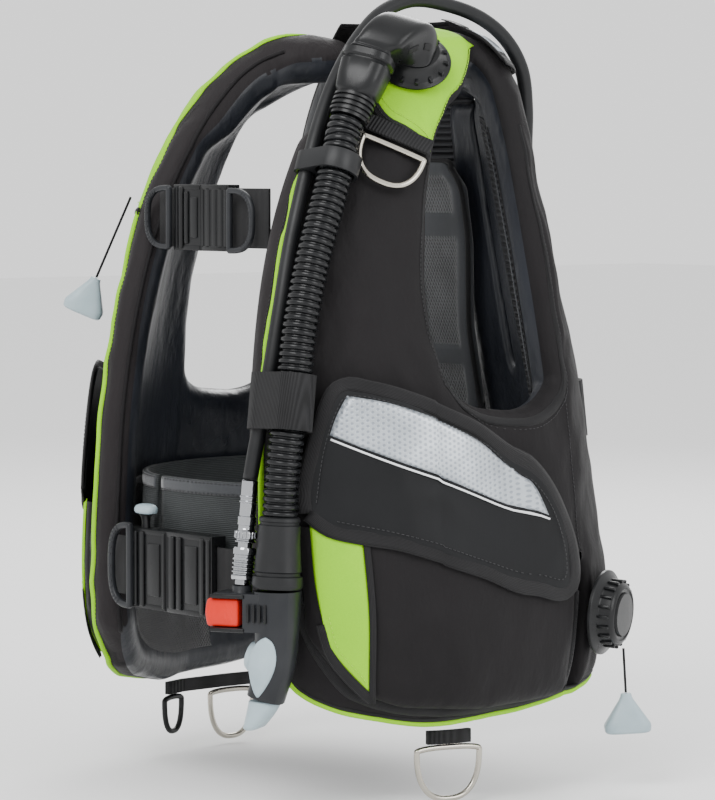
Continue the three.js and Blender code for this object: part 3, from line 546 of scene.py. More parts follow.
# Moulded plastic or rubber: fine grain, faint flow marks and handling wear.
def mouldedMaterial(name, dark, light, rough, grain=0.00005, grainScale=1400, gloss=0.26, **constant):
    m, nodes, links, shader = startMaterial(name, rough, Specular_IOR_Level=gloss, **constant)
    body = lieOf(nodes, links, False)
    flow = noiseOf(nodes, links, body, 22, 4)
    fine = noiseOf(nodes, links, body, grainScale, 2)
    scuff = noiseOf(nodes, links, lieOf(nodes, links, False, (1, 1, 0.2), 35), 160, 3, 0.7)
    links.new(rampOf(nodes, links, flow, (0.3, dark), (0.72, light)), shader.inputs["Base Color"])
    worn = mathOf(nodes, links, "MULTIPLY_ADD", scuff, 0.22)
    worn.node.inputs[2].default_value = rough - 0.11
    links.new(worn, shader.inputs["Roughness"])
    links.new(bumpOf(nodes, links, fine, grain, 0.6), shader.inputs["Normal"])
    return m


def metalMaterial(name, color, rough, scratch=0.15, scale=(1, 1, 1)):
    m, nodes, links, shader = startMaterial(name, rough, 1.0)
    body = lieOf(nodes, links, False, scale)
    marks = noiseOf(nodes, links, body, 240, 4, 0.7)
    cloud = noiseOf(nodes, links, lieOf(nodes, links, False), 18, 2)
    low = tuple(c * 0.86 for c in color)
    links.new(rampOf(nodes, links, cloud, (0.3, low), (0.7, color)), shader.inputs["Base Color"])
    links.new(rampOf(nodes, links, marks, (0.25, rough), (0.8, rough + scratch)),
              shader.inputs["Roughness"])
    links.new(bumpOf(nodes, links, marks, 0.00003, 0.4), shader.inputs["Normal"])
    return m


# Open diamond net: two sets of crossing threads over holes painted near-black as the shade inside them.
def meshMaterial(name, holeShade, threadDark, threadLight, pitch, turn=0, squash=1.7, rough=0.7, depth=0.0008):
    m, nodes, links, shader = startMaterial(name, rough, Sheen_Weight=0.2)
    a = wavesOf(nodes, links, lieOf(nodes, links, True, (squash, 1, 1), 45 + turn), pitch, "X")
    b = wavesOf(nodes, links, lieOf(nodes, links, True, (squash, 1, 1), -45 + turn), pitch, "X")
    net = mathOf(nodes, links, "MAXIMUM", a, b)
    shade = noiseOf(nodes, links, lieOf(nodes, links, False), 25, 2)
    thread = rampOf(nodes, links, shade, (0.3, threadDark), (0.7, threadLight))
    mask = rampOf(nodes, links, net, (0.45, 0.0), (0.75, 1.0))
    mix = nodes.new("ShaderNodeMix")
    mix.data_type = "RGBA"
    links.new(mask, mix.inputs["Factor"])
    # The holes take a near-black colour: painted shade.
    mix.inputs["A"].default_value = (*holeShade, 1)
    links.new(thread, mix.inputs["B"])
    links.new(mix.outputs["Result"], shader.inputs["Base Color"])
    links.new(bumpOf(nodes, links, net, depth, 1.0), shader.inputs["Normal"])
    return m


# Glass-bead strip: silver under a clear film with a welded honeycomb.
def reflectiveMaterial():
    m, nodes, links, shader = startMaterial("reflectiveStrip", 0.28, 0.35, Coat_Weight=0.6,
                                            Coat_Roughness=0.12)
    vector = lieOf(nodes, links, True)
    edge = 0.0
    for turn in (0, 60, 120):
        band = wavesOf(nodes, links, lieOf(nodes, links, True, turn=turn), 0.0038, "X")
        edge = mathOf(nodes, links, "ADD", edge, mathOf(nodes, links, "MULTIPLY", band, 0.3333))
    patch = noiseOf(nodes, links, lieOf(nodes, links, False), 28, 3)
    tone = rampOf(nodes, links, patch, (0.25, (0.3, 0.33, 0.36)), (0.75, (0.52, 0.56, 0.6)))
    line = rampOf(nodes, links, edge, (0.3, (0.62, 0.64, 0.67)), (0.42, (1, 1, 1)))
    mix = nodes.new("ShaderNodeMix")
    mix.data_type = "RGBA"
    mix.blend_type = "MULTIPLY"
    mix.inputs["Factor"].default_value = 1
    links.new(tone, mix.inputs["A"])
    links.new(line, mix.inputs["B"])
    links.new(mix.outputs["Result"], shader.inputs["Base Color"])
    links.new(bumpOf(nodes, links, rampOf(nodes, links, edge, (0.25, 0.0), (0.5, 1.0)), 0.0004, 0.6,
                     bumpOf(nodes, links, patch, 0.003, 0.5)), shader.inputs["Normal"])
    return m


nylon = wovenMaterial("blackNylon", (0.0035, 0.003, 0.0035), (0.009, 0.0078, 0.0086), 0.62, sheen=0.03)
bandNylon = wovenMaterial("edgeNylon", (0.0085, 0.0068, 0.0075), (0.017, 0.0145, 0.0155), 0.6, sheen=0.05)
liner = wovenMaterial("satinLining", (0.005, 0.006, 0.0085), (0.014, 0.0165, 0.023), 0.33, thread=0.0004,
                      weave=0.25, sheen=0.02, gloss=0.42)
lime = wovenMaterial("limeNylon", (0.2, 0.5, 0.0), (0.28, 0.61, 0.0), 0.55, weave=0.35, crease=0.5,
                     sheen=0.0, gloss=0.15)
binding = ribbedMaterial("bindingTape", (0.003, 0.003, 0.0035), (0.011, 0.0105, 0.0115), 0.0011, "X",
                         0.00025, 0.55)
webbing = ribbedMaterial("beltWebbing", (0.003, 0.003, 0.0035), (0.012, 0.012, 0.013), 0.0016, "X",
                         0.0005, 0.6, cross=0.0045)
objectWebbing = ribbedMaterial("bandWebbing", (0.003, 0.003, 0.0035), (0.012, 0.012, 0.013), 0.0016, "X",
                               0.0005, 0.6, cloth=False)
elastic = ribbedMaterial("gatheredElastic", (0.003, 0.003, 0.004), (0.03, 0.031, 0.034), 0.0055, "Y",
                         0.0024, 0.5)
flapSkin = wovenMaterial("coatedFlap", (0.0042, 0.0044, 0.005), (0.0085, 0.009, 0.01), 0.5, weave=0.15,
                         crease=0.25, sheen=0.0, gloss=0.16)
padCloth = wovenMaterial("padCloth", (0.022, 0.024, 0.027), (0.048, 0.051, 0.056), 0.55, thread=0.0008,
                         crease=0.3)
# The first colour of each net is the painted shade in its holes.
padNet = meshMaterial("padNet", (0.004, 0.004, 0.004), (0.03, 0.032, 0.034), (0.07, 0.074, 0.078), 0.0042)
innerNet = meshMaterial("innerNet", (0.005, 0.005, 0.006), (0.02, 0.02, 0.022), (0.04, 0.04, 0.043),
                        0.003)
gridCloth = ribbedMaterial("gridCloth", (0.009, 0.0105, 0.011), (0.034, 0.038, 0.039), 0.0016, "Y",
                           0.0003, 0.6, cross=0.0016)
reflective = reflectiveMaterial()
blackPlastic = mouldedMaterial("blackPlastic", (0.0042, 0.0045, 0.005), (0.009, 0.0095, 0.0102), 0.3)
charcoal = mouldedMaterial("charcoalPlastic", (0.011, 0.012, 0.014), (0.019, 0.0205, 0.0235), 0.36)
rubber = mouldedMaterial("blackRubber", (0.0055, 0.006, 0.0066), (0.012, 0.0125, 0.0135), 0.42,
                         grain=0.00008)
glossRubber = mouldedMaterial("hoseRubber", (0.004, 0.0043, 0.005), (0.0085, 0.009, 0.0098), 0.24)
redPlastic = mouldedMaterial("redPlastic", (0.56, 0.012, 0.004), (0.68, 0.022, 0.008), 0.26,
                             grain=0.00002)
palePlastic = mouldedMaterial("palePlastic", (0.27, 0.35, 0.385), (0.38, 0.47, 0.505), 0.34,
                              grain=0.00002, Subsurface_Weight=0.15,
                              Subsurface_Radius=(0.004, 0.004, 0.004))
chrome = metalMaterial("chromeBrass", (0.42, 0.43, 0.45), 0.06, 0.08)
steel = metalMaterial("stainlessWire", (0.5, 0.47, 0.41), 0.16, 0.16)
thread = startMaterial("blackThread", 0.6, base=(0.02, 0.02, 0.022))[0]
limeThread = startMaterial("limeThread", 0.6, base=(0.33, 0.62, 0.02))[0]
print("materials ready")


# The inflator head's place, and the cords
head = {"at": (147, -200, 126), "x": (0.8645, 0.5026, 0)}
coupling = {"foot": [-30.5, 0, 4.2], "lean": [0.02, 0.085, 1], "ridges": 4, "ridgePitch": 3.4,
            "teeth": 18, "tooth": ((8.2, -0.8, 37.6), (9.5, 0.8, 43)),
            "core": [(0, 0), (6, 0), (6, 33.6), (7.6, 34), (8.7, 34.4), (8.7, 35.2), (7.4, 35.8),
                     (7.4, 36.6), (8.7, 37.2),
                     (8.7, 43.4), (7.6, 44), (6.7, 45.4), (6.7, 48), (7.6, 48.4), (7.6, 55), (6.7, 55.6),
                     (6.7, 66),
                     (7.5, 66.4), (7.5, 67.6), (6.7, 68), (6.7, 70), (7.5, 70.4), (7.5, 71.6), (6.7, 72),
                     (6.7, 84),
                     (5.4, 85), (0, 85)]}
lowHose = {"diameter": 12.5, "steps": 160}
pulls = {"diameter": 2.2, "long": 34, "turn": (0.64, 0.77, 0)}
headSeat, headLocal = framed(head["at"], xAxis=head["x"], zHint=(0, 0, 1))


lowPoints = [headLocal(coupling["foot"]) + unit(coupling["lean"]) * 85.6, (124, -204, 240),
             (126, -196, 278), (127, -188, 318),
             (125, -178, 358), (121, -166, 400), (117, -152, 440), (111.5, -135, 480), (104, -116, 514),
             (97, -95, 544), (91, -69, 573),
             (86, -38, 597), (85, -2, 609), (86, 36, 606), (88, 72, 596), (90, 100, 578), (89, 120, 552),
             (84, 130, 520), (77, 136, 486),
             (70, 143, 450), (66, 150, 420)]


def makeLowHose():
    down = unit(np.subtract(lowPoints[-1], lowPoints[-2]))
    m = framed(np.array(lowPoints[-1], float) + down * 0.6, zAxis=down, xHint=(1, 0, 0))[0]
    bm = bmesh.new()
    drawTurned(bm, [(0, 0), (7.4, 0), (8.4, 0.8), (8.4, 15.2), (7.6, 16), (7, 16.6), (7, 18), (8.2, 18.4),
                    (8.2, 26.6), (7.6, 27), (4.9, 27.2),
                    (4.9, 30), (4.5, 30.4), (4.9, 30.8), (4.9, 37.4), (4.4, 38), (0, 38)], 32)
    fitting = asObject(finished(bm, m), "hose_fitting", chrome, "vest", ["lp_hose_fitting"],
                       smooth="edges")
    line = smoothLine(lowPoints, lowHose["steps"] + 1)
    bm = bmesh.new()
    drawTube(bm, line, lowHose["diameter"] / 2, around=20, along=lowHose["steps"])
    hose = asObject(bm, "low_pressure_hose", rubber, "vest", ["lp_hose"])


def makePull(side, start, end, long, wide, turn):
    body = f"{side}_dump_pull"
    start, end = np.array(start, float), np.array(end, float)
    down = unit(end - start)
    run = float(np.linalg.norm(end - start))
    aside = unit(np.array(turn) - down * (down @ np.array(turn)))
    up = np.cross(down, aside)
    steps = [(0, 3.6, 3.6, 2), (0.3, 4.4, 4.2, 2), (3, 5, 4.6, 2.4), (6, 6.4, 5.4, 3)]
    steps += [(6 + (long - 14) * t, 6.4 + (wide - 6.8) * t, 5.4 + (wide * 0.62 - 5.4) * t,
               4.2) for t in (0.25, 0.5, 0.75, 1)]
    steps += [(long - 6, wide, wide * 0.62, 4), (long - 2, wide - 0.6, wide * 0.6, 4),
              (long - 0.6, wide - 2, wide * 0.6 - 1.4, 4), (long, wide - 4.4, wide * 0.6 - 3.6, 4)]
    bm = bmesh.new()
    drawLoft(bm, [(start + down * (run + d), aside, up, w, h, sq) for d, w, h, sq in steps], 32)
    knob = asObject(bm, f"{side}_pull_knob", palePlastic, body, [f"{side}_dump_knob"],
                    smooth="edges")
    line = [start - down * 2 + down * (run + 1.4) * t for t in np.linspace(0, 1, 13)]
    bm = bmesh.new()
    drawTube(bm, line, pulls["diameter"] / 2, around=12, along=12)
    cord = asObject(bm, f"{side}_pull_cord", webbing, body, [f"{side}_dump_cord"])


makeLowHose()
leftTop = raised(119, 62, 25)
makePull("left", leftTop, leftTop + [2, 1, -36], pulls["long"], 20, pulls["turn"])
makePull("right", raised(44, 436, 12) * [-1, 1, 1], raised(46, 366, 24) * [-1, 1, 1], pulls["long"], 18,
         pulls["turn"])
print("cords laid")


# Sewn shells
shellCut = {"thickness": 36, "neckSide": 50, "armSide": 32, "rim": [0, 1.2, 4.5, 10, 18], "fold": 2.0}

armLoop = surface(*np.array(
    [(a, z) for z, a in armFront if z >= 297][::-1] + armBottom + [(a, z) for z,
                                                                   a in armRear if z > 292]).T)
armOver = surface(*smoothLine(armEdge, 40).T)
frontLine = surface(*np.array([(reading(frontEdge, z), z) for z in np.linspace(70, 493, 40)]).T)
neckOver = surface(*smoothLine(neckEdge, 40).T)
hemRim = surface(*np.array([(t, reading(hemLine, t)) for t in np.linspace(26, 180, 80)]).T)
backRim = surface(np.full(30, 178.0), np.linspace(30, 527, 30))
topRim = surface(np.linspace(160, 178, 8), np.full(8, 527.0))


# Moves even steps so that they crowd towards a rounded rim.
def spread(t, length, first=False, last=False):
    n = 40
    rim = np.array(shellCut["rim"]) / length
    x = [*rim] if first else [0]
    tail = list(1 - rim[::-1]) if last else [1]
    k = 0.32 if first and last else 0.2
    lo, hi = (k * 0.5 if first else 0), (1 - k * 0.5 if last else 1)
    keys = [*np.linspace(0, lo, len(x)), *np.linspace(hi, 1, len(tail))]
    return np.interp(t, keys, [*x, *tail])


piping = [(40, 530), (37, 505), (34.4, 440), (33.2, 370), (31.6, 310), (30.8, 250), (30.4, 190),
          (30.6, 130), (31.4, 82),
          (33.6, 45), (38, 27), (47, 14.5), (57, 7.5), (68, 3.5), (79, 4.5), (89, 8.5), (102, 16),
          (122, 24.5), (150, 30.5), (177, 32.5)]
gusset = [(37.5, 184), (37.5, 140), (41.5, 84), (50, 42), (61.5, 26.5), (84, 20.5), (101.5, 24.5),
          (104, 108)]
sideSeam = [(104.5, 24), (105, 120), (105.5, 200), (106, 285)]
backSeam = [(106, 285), (118, 330), (122, 420), (121, 520)]
seams = [(surface(*smoothLine(s, 60).T), d, w) for s, d, w in
         ((piping, 2.2, 6), (gusset, 1.6, 7), (sideSeam, 1.2, 6), (backSeam, 1.6, 7))]


# Half thickness at each point: full inside, rounded off towards the rims.
def pillow(points, theta, z, thick):
    rims = [frontLine, neckOver, hemRim, armLoop, armOver, backRim, topRim]
    d = np.min([nearest(points, r) for r in rims], axis=0)
    e = np.clip(d / (thick / 2), 0, 1)
    return thick / 2 * np.sqrt(np.clip(1 - (1 - e)**2, 0, 1)), d


# Soft wrinkles: low folds that run along the body, and finer puckers.
def folded(points, amount, seed):
    out = []
    for p in points:
        v = Vector((p[0] / 62 + seed, p[1] / 62, p[2] / 95 + 0.35 * p[0] / 95))
        big = noise.noise(v)
        ridge = 1 - abs(noise.noise(v * 2.1 + Vector((5, 2, seed)))) * 2.2
        fine = noise.noise(Vector((p[0], p[1], p[2] * 0.6)) / 17 + Vector((seed, 0, 3)))
        out.append(big * 1.5 + max(ridge, 0) * 1.1 + fine * 0.35)
    return (np.array(out) - 0.5) * amount


pipingAt = [(z, a) for a, z in piping[:11]][::-1]


# The band round the front rim is cut from a browner cloth.
def edgeFabric(bm, made, inner):
    layer = bm.verts.layers.float_vector["cloth"]
    faces = list({f for v in made for f in v.link_faces})
    centre = np.array([np.mean([v[layer][:2] for v in f.verts], axis=0) for f in faces]) * 1000
    theta, z = centre[:, 0] / perDegree, centre[:, 1]
    p = surface(theta, z)
    if inner:
        mine = np.minimum(nearest(p, frontLine), nearest(p, neckOver)) < 1
    else:
        mine = ((theta < reading(pipingAt, z)) & (z < 532)) | (nearest(p, neckOver) < 15)
    for f, yes in zip(faces, mine):
        if yes:
            f.material_index = 2


def shellSheet(bm, ranges, inner, seed):
    def thickness(u, v, kind):
        full = np.full(len(u), float(shellCut["thickness"]))
        if kind != "strap":
            return full
        strap = shellCut["neckSide"] + (shellCut["armSide"] - shellCut["neckSide"]) * u
        w = np.clip(np.minimum(v, 1 - v) * 6, 0, 1)
        return full + (strap - full) * w * w * (3 - 2 * w)

    for kind, nu, nv, lay in ranges:
        def placed(u, v, kind=kind, lay=lay):
            theta, z = lay(u, v)
            thick = thickness(u, v, kind)
            p, n = surface(theta, z), outward(theta, z)
            half, d = pillow(p, theta, z, thick)
            if inner:
                out = -thick / 2 - half * 0.94
            else:
                away = np.clip(d / 14, 0, 1)
                out = -thick / 2 + half + folded(p, shellCut["fold"], seed) * away
                for line, deep, wide in seams:
                    out -= deep * np.exp(-(nearest(p, line) / wide * 1.6)**2) * away
            return p + n * out[:, None], np.stack([theta * perDegree, z], -1)
        made = drawPatch(bm, nu, nv, placed, 1 if inner else 0, flip=inner)
        edgeFabric(bm, made, inner)


def shellRanges():
    low = 292.0

    def mid(theta):
        return np.where(theta <= 78, 297, np.where(theta >= 107, low, reading(armBottom, theta)))

    def frontLow(u, v):
        guess = 70 + (297 - 70) * v
        theta = reading(frontEdge, guess) + (78 - reading(frontEdge, guess)) * spread(u, 185, first=True)
        bottom = reading(hemLine, theta)
        return theta, bottom + (mid(theta) - bottom) * spread(v, 270, first=True)

    def frontHigh(u, v):
        z = 297 + (493.6 - 297) * v
        a, b = reading(frontEdge, z), reading(armFront, z)
        return a + (b - a) * highSpread(u, v), z

    def highSpread(u, v):
        w = np.clip(v * 5, 0, 1)
        return spread(u, 185, first=True) * (1 - w) + spread(u, 150, True, True) * w

    def sideLow(u, v):
        theta = 78 + 29 * u
        bottom, top = reading(hemLine, theta), mid(theta)
        w = np.clip(np.minimum(u, 1 - u) * 6, 0, 1)
        return theta, bottom + (top - bottom) * (spread(v, 270, first=True) * (1 - w) + spread(v, 260,
                True, True) * w)

    def rearTheta(u, v, start):
        w = np.clip(v * 5, 0, 1)
        one = spread(u, 130, first=True)
        return start + (160 - start) * (u * (1 - w) + one * w)

    def rearLow(u, v):
        theta = 107 + (160 - 107) * u
        bottom = reading(hemLine, theta)
        return theta, bottom + (low - bottom) * spread(v, 265, first=True)

    def rearHigh(u, v):
        z = low + (528 - low) * v
        return rearTheta(u, v, reading(armRear, z)), z

    def backLow(u, v):
        theta = 160 + 18 * spread(u, 60, last=True)
        bottom = reading(hemLine, theta)
        return theta, bottom + (low - bottom) * spread(v, 265, first=True)

    def backHigh(u, v):
        return 160 + 18 * spread(u, 60, last=True), low + (528 - low) * spread(v, 236, last=True)

    neck, arm = smoothLine(neckEdge, 200), smoothLine(armEdge, 200)

    def strap(u, v):
        k = np.linspace(0, 1, 200)
        a = np.stack([np.interp(v, k, neck[:, 0]), np.interp(v, k, neck[:, 1])])
        b = np.stack([np.interp(v, k, arm[:, 0]), np.interp(v, k, arm[:, 1])])
        w = np.clip(v * 5, 0, 1)
        s = spread(u, 150, True, True)
        # the rear end matches the rear panel, which counts from the arm side
        end = 1 - spread(1 - u, 130, first=True)
        q = np.clip((v - 0.8) * 5, 0, 1)
        s = s * (1 - q) + end * q
        return a[0] + (b[0] - a[0]) * s, a[1] + (b[1] - a[1]) * s

    return [("front", 34, 38, frontLow), ("front", 34, 32, frontHigh), ("side", 16, 38, sideLow),
            ("rear", 34, 38, rearLow), ("rear", 34, 36, rearHigh), ("rear", 10, 38, backLow),
            ("rear", 10, 36, backHigh), ("strap", 34, 50, strap)]


def makeShell(side, seed):
    bm, lining = bmesh.new(), bmesh.new()
    rims = []
    for sheet, inner in ((bm, False), (lining, True)):
        shellSheet(sheet, shellRanges(), inner, seed)
        bmesh.ops.remove_doubles(sheet, verts=sheet.verts, dist=2e-4)
        layer = sheet.verts.layers.float_vector["cloth"]
        rims.append({(round(v[layer][0], 4), round(v[layer][1],
                                                   4)): v for v in sheet.verts if v.is_boundary})
    for key, v in rims[1].items():        # both sheets meet at their rims
        if key in rims[0]:
            mate = rims[0][key]
            v.co = mate.co = (v.co + mate.co) / 2
    joined(bm, lining)
    bmesh.ops.remove_doubles(bm, verts=bm.verts, dist=5e-5)
    print("open edges", sum(e.is_boundary for e in bm.edges))
    if side == "right":
        mirrored(bm)
    names = [f"{side}_{n}" for n in ("front_lobe", "side_lobe", "rear_lobe", "shoulder_strap")]
    obj = asObject(bm, f"{side}_shell", [nylon, liner, bandNylon], "vest", names, levels=1)
    return obj


shells = {side: makeShell(side, seed) for side, seed in (("left", 1.3), ("right", 4.7))}
bpy.context.view_layer.update()
grounds = {}
for side, obj in shells.items():
    flat = obj.evaluated_get(bpy.context.evaluated_depsgraph_get()).to_mesh()
    grounds[side] = BVHTree.FromPolygons([v.co.copy() for v in flat.vertices],
                                         [p.vertices[:] for p in flat.polygons])
print("shells sewn")


# Points on the finished shell, raised by lift; falls back on the drawn surface past its rims.
def settled(theta, z, lift, side="left", inside=False, reach=45):
    sign = 1 if side == "left" else -1
    p, n = surface(theta, z), outward(theta, z)
    p, n = p * [sign, 1, 1], n * [sign, 1, 1]
    lift = np.broadcast_to(np.asarray(lift, float), p.shape[:-1])
    out = []
    for a, b, h in zip(place(p), n, lift):
        if not inside:        # follows the rounded rims
            base, normal = grounds[side].find_nearest(Vector(a + b * 0.004))[:2]
            normal = np.array(normal)
            normal = unit(normal + b) if normal @ b > -0.2 else b
            out.append(np.array(base) + normal * h / 1000)
            continue
        hit = grounds[side].ray_cast(Vector(a - b * 0.085), Vector(b), reach / 1000)[0]
        if hit is None:
            hit = grounds[side].find_nearest(Vector(a - b * 0.034))[0]
        out.append(np.array(hit) - b * h / 1000)
    return np.array(out) * 1000 + cradle


# Fills between four lines of (angle, height): left and right run from bottom to top.
def coons(bottom, top, left, right, n=60):
    lines = [smoothLine(c, n) if len(c) > 2 else np.linspace(c[0], c[1], n) for c in (bottom, top, left,
            right)]
    k = np.linspace(0, 1, n)

    def lay(u, v):
        def read(line, t):
            return np.stack([np.interp(t, k, line[:, 0]), np.interp(t, k, line[:, 1])], -1)
        b, t, l, r = read(lines[0], u), read(lines[1], u), read(lines[2], v), read(lines[3], v)
        u2, v2 = u[:, None], v[:, None]
        corner = ((1 - u2) * (1 - v2) * lines[0][0] + u2 * (1 - v2) * lines[0][-1]
                  + (1 - u2) * v2 * lines[1][0] + u2 * v2 * lines[1][-1])
        return ((1 - v2) * b + v2 * t + (1 - u2) * l + u2 * r - corner).T
    return lay


# A thin sheet lying on the shell, turned under at its rim.
def sewnSheet(name, lay, nu, nv, lift, material, side="left", thickness=1.0, inside=False,
              body="vest", crown=0, on=settled):
    bm = bmesh.new()

    def placed(u, v):
        theta, z = lay(u, v)
        rim = np.minimum(np.minimum(u, 1 - u) * nu, np.minimum(v, 1 - v) * nv)
        soft = np.clip(rim, 0, 1)
        bulge = crown * np.sin(np.pi * np.clip(u, 0, 1)) * np.sin(np.pi * np.clip(v, 0, 1))
        return on(theta, z, lift * (0.35 + 0.65 * soft) + bulge, side,
                  inside), np.stack([theta * perDegree, z], -1)
    drawPatch(bm, nu, nv, placed)
    flip = (side == "right") != inside
    if flip:
        bmesh.ops.reverse_faces(bm, faces=bm.faces)
    obj = asObject(bm, name, material, body, ())
    thicken(obj, thickness)
    return obj


# A line of (angle, height) laid out flat, in millimetres, and its length.
def laidOut(line):
    flat = np.array(line, float) * [perDegree, 1]
    return flat, np.linalg.norm(np.diff(smoothLine(flat, 200), axis=0), axis=1).sum()


# A tape sewn along a line of (angle, height).
def ribbon(name, line, width, lift, material, side="left", crown=0.5, thickness=0.9,
           inside=False, body="vest",
           step=7, on=settled, cross=4):
    flat, run = laidOut(line)
    n = max(6, int(run / step))
    path = smoothLine(flat, n + 1)
    along = np.gradient(path, axis=0)
    along /= np.linalg.norm(along, axis=1, keepdims=True)
    normal = np.stack([-along[:, 1], along[:, 0]], -1)
    bm = bmesh.new()

    def placed(u, v):
        k = np.clip(np.round(u * n).astype(int), 0, n)
        at = path[k] + normal[k] * ((v - 0.5) * width)[:, None]
        h = lift + crown * (1 - (2 * v - 1)**2)
        return on(at[:, 0] / perDegree, at[:, 1], h, side, inside), np.stack([(v - 0.5) * width, u * run],
                -1)
    drawPatch(bm, n, cross, placed)
    if (side == "right") != inside:
        bmesh.ops.reverse_faces(bm, faces=bm.faces)
    obj = asObject(bm, name, material, body, ())
    thicken(obj, thickness)
    return obj


# A round piping or corded seam along a line of (angle, height).
def sewnCord(name, line, diameter, lift, material, side="left", inside=False, body="vest",
             step=6, on=settled):
    flat, run = laidOut(line)
    path = smoothLine(flat, max(8, int(run / step)))
    points = on(path[:, 0] / perDegree, path[:, 1], lift, side, inside)
    bm = bmesh.new()
    drawTube(bm, points, diameter / 2, around=10, along=len(points) - 1)
    return asObject(bm, name, material, body, ())


# A row of short thread stitches along a line of (angle, height).
def stitches(name, line, lift, side="left", pitch=3.6, length=2.3, material=None, body="vest",
             inside=False, on=settled):
    flat, run = laidOut(line)
    n = int(run / pitch)
    path = smoothLine(flat, 2 * n + 1)
    points = on(path[:, 0] / perDegree, path[:, 1], lift, side, inside)
    threadRow(name, points, length, material or thread, body)


def threadRow(name, points, length=2.3, material=None, body="vest", thick=0.35):
    bm = bmesh.new()
    for a, b in zip(points[:-1:2], points[1::2]):
        d = Vector(b - a)
        if d.length < 1e-6:
            continue
        made = bmesh.ops.create_cone(bm, cap_ends=True, segments=5, radius1=thick / 1000,
                                     radius2=thick / 1000,
                                     depth=length / 1000)["verts"]
        m = seat(Vector(place((a + b) / 2)), zAxis=d, xHint=(0.3, 0.9, 0.2))
        bmesh.ops.transform(bm, matrix=m, verts=made)
    asObject(bm, name, material or thread, body, ())


# Trim on both sides
def onRim(theta, z, lift, side="left", inside=False):
    p = (surface(theta, z) - outward(theta,
                                     z) * shellCut["thickness"] / 2) * [1 if side == "left" else -1, 1, 1]
    return np.array([np.array(grounds[side].find_nearest(Vector(a))[0])
                     for a in place(p)]) * 1000 + cradle


tapes = {"piping": 5.2, "rimCord": 4, "hemWidth": 9, "armWidth": 11,
         "hem": [(33, 49), (38, 33), (47, 20.5), (57, 13.5), (68, 10), (89, 14), (102, 22), (122, 30.5),
                 (150, 36), (176, 38)],
         "arm": [(79.5, 480), (76.5, 440), (74.8, 400), (74.9, 360), (76.6, 330), (79.2, 300), (83, 275),
                 (88, 262), (93, 258), (99, 263), (105, 276), (109.4, 300), (109.8, 340), (111.6, 400),
                 (112.6, 450), (113.6, 505)],
         "armStitches": [(77.5, 470), (75, 430), (73.3, 390), (73.6, 350), (76, 318), (80, 285),
                         (86, 259), (93, 250), (101, 257), (107.5, 275), (111, 300), (111.6, 350),
                         (113.6, 410), (115, 470)]}


def trimSide(side):
    line = piping if side == "left" else [(34, 429), *[p for p in piping if p[1] < 428]]
    sewnCord(f"{side}_piping", line, tapes["piping"], 0.6, lime, side)
    rim = [(float(reading(frontEdge, z)), z) for z in (60, 120, 190, 260, 330, 400, 450)] + neckEdge[:4]
    sewnCord(f"{side}_rim_cord", rim, tapes["rimCord"], 0, nylon, side, on=onRim)
    stitches(f"{side}_edge_stitches", [(a - 1.2, z) for a, z in piping[:12]], 0.3, side)
    stitches(f"{side}_hem_stitches", [(a + 0.3, z + 7) for a, z in piping[11:]], 0.3, side)
    ribbon(f"{side}_hem_tape", tapes["hem"], tapes["hemWidth"], 0.2, binding, side, crown=0.7)
    ribbon(f"{side}_arm_tape", tapes["arm"], tapes["armWidth"], 0.2, binding, side, crown=0.8)
    stitches(f"{side}_arm_stitches", tapes["armStitches"], 0.3, side)
    stitches(f"{side}_side_stitches", [(a + 1, z) for a, z in sideSeam], 0.3, side)


shoulderPanel = coons([(43, 556), (57.5, 512), (67.5, 498), (78, 476)],
                      [(92, 588.5), (101, 583), (110.5, 571)],
                      [(43, 556), (54, 563.5), (66, 574), (80, 585), (92, 588.5)],
                      [(78, 476), (81, 493), (86.5, 516), (94, 543), (103, 563), (110.5, 571)])


lowPanel = coons([(34, 430), (46, 432), (62, 437), (76.3, 443)], [(92, 586.5), (101, 581), (109, 569)],
                 [(34, 430), (34, 468), (37, 500), (43.5, 530), (53, 554), (66, 571.5), (79, 582),
                  (92, 586.5)],
                 [(76.3, 443), (79, 478), (86.5, 516), (94, 543), (102, 561), (109, 569)])


def trimShoulder(side):
    if side == "right":
        sewnSheet("right_shoulder_panel", lowPanel, 26, 44, 2.2, lime, side, 1.1,
                  crown=0.8)
        ribbon("right_panel_binding", [(33, 429.5), (46, 430), (62, 435), (77.4, 441)], 6, 2.0, binding,
               side, crown=0.9, thickness=1.4)
        stitches("right_panel_stitches", [(36, 436), (50, 437.5), (75, 447)], 3.2, side,
                 material=limeThread)
        return
    sewnSheet(f"{side}_shoulder_panel", shoulderPanel, 26, 34, 1.8, lime, side, 1.1,
              crown=0.8)
    low = [(41, 560), (44, 553), (57.5, 510), (67.5, 495.5), (78.5, 472)]
    ribbon(f"{side}_panel_binding", low, 9, 1.4, binding, side, crown=0.9, thickness=1.4)
    stitches(f"{side}_panel_stitches", [(a - 0.2, z + 1.6) for a, z in low], 2.6, side)
    stitches(f"{side}_panel_stitches_2", [(44, 562), (58.3, 520), (68.2, 505), (77.5, 487)], 2.2, side,
             material=limeThread)
    edge = [(80, 480), (82.4, 494), (87.5, 514), (95, 540), (103.5, 560), (109.5, 568)]
    stitches(f"{side}_panel_stitches_3", [(a - 2.6, z - 0.5) for a, z in edge], 2.3, side,
             material=limeThread)


for side in ("left", "right"):
    trimSide(side)
    trimShoulder(side)
print("trim sewn")


# Pockets and flaps
pocketBottom = [(38, 112), (41.5, 82), (50, 42), (61.5, 27), (84, 22), (100, 26), (104, 40)]
flapTop = [(41.5, 212), (46.5, 277), (50.5, 292), (62.5, 283), (82.5, 252), (91, 222), (97, 188),
           (100, 152)]
flapBottom = [(41.5, 188), (47, 172), (62, 159), (82.5, 133), (95.5, 111), (100, 120)]
pocketCut = {"from": 40, "to": 102, "top": 176, "lift": 1.4, "depth": 9, "flapClear": 1.6,
             "flapThickness": 4}


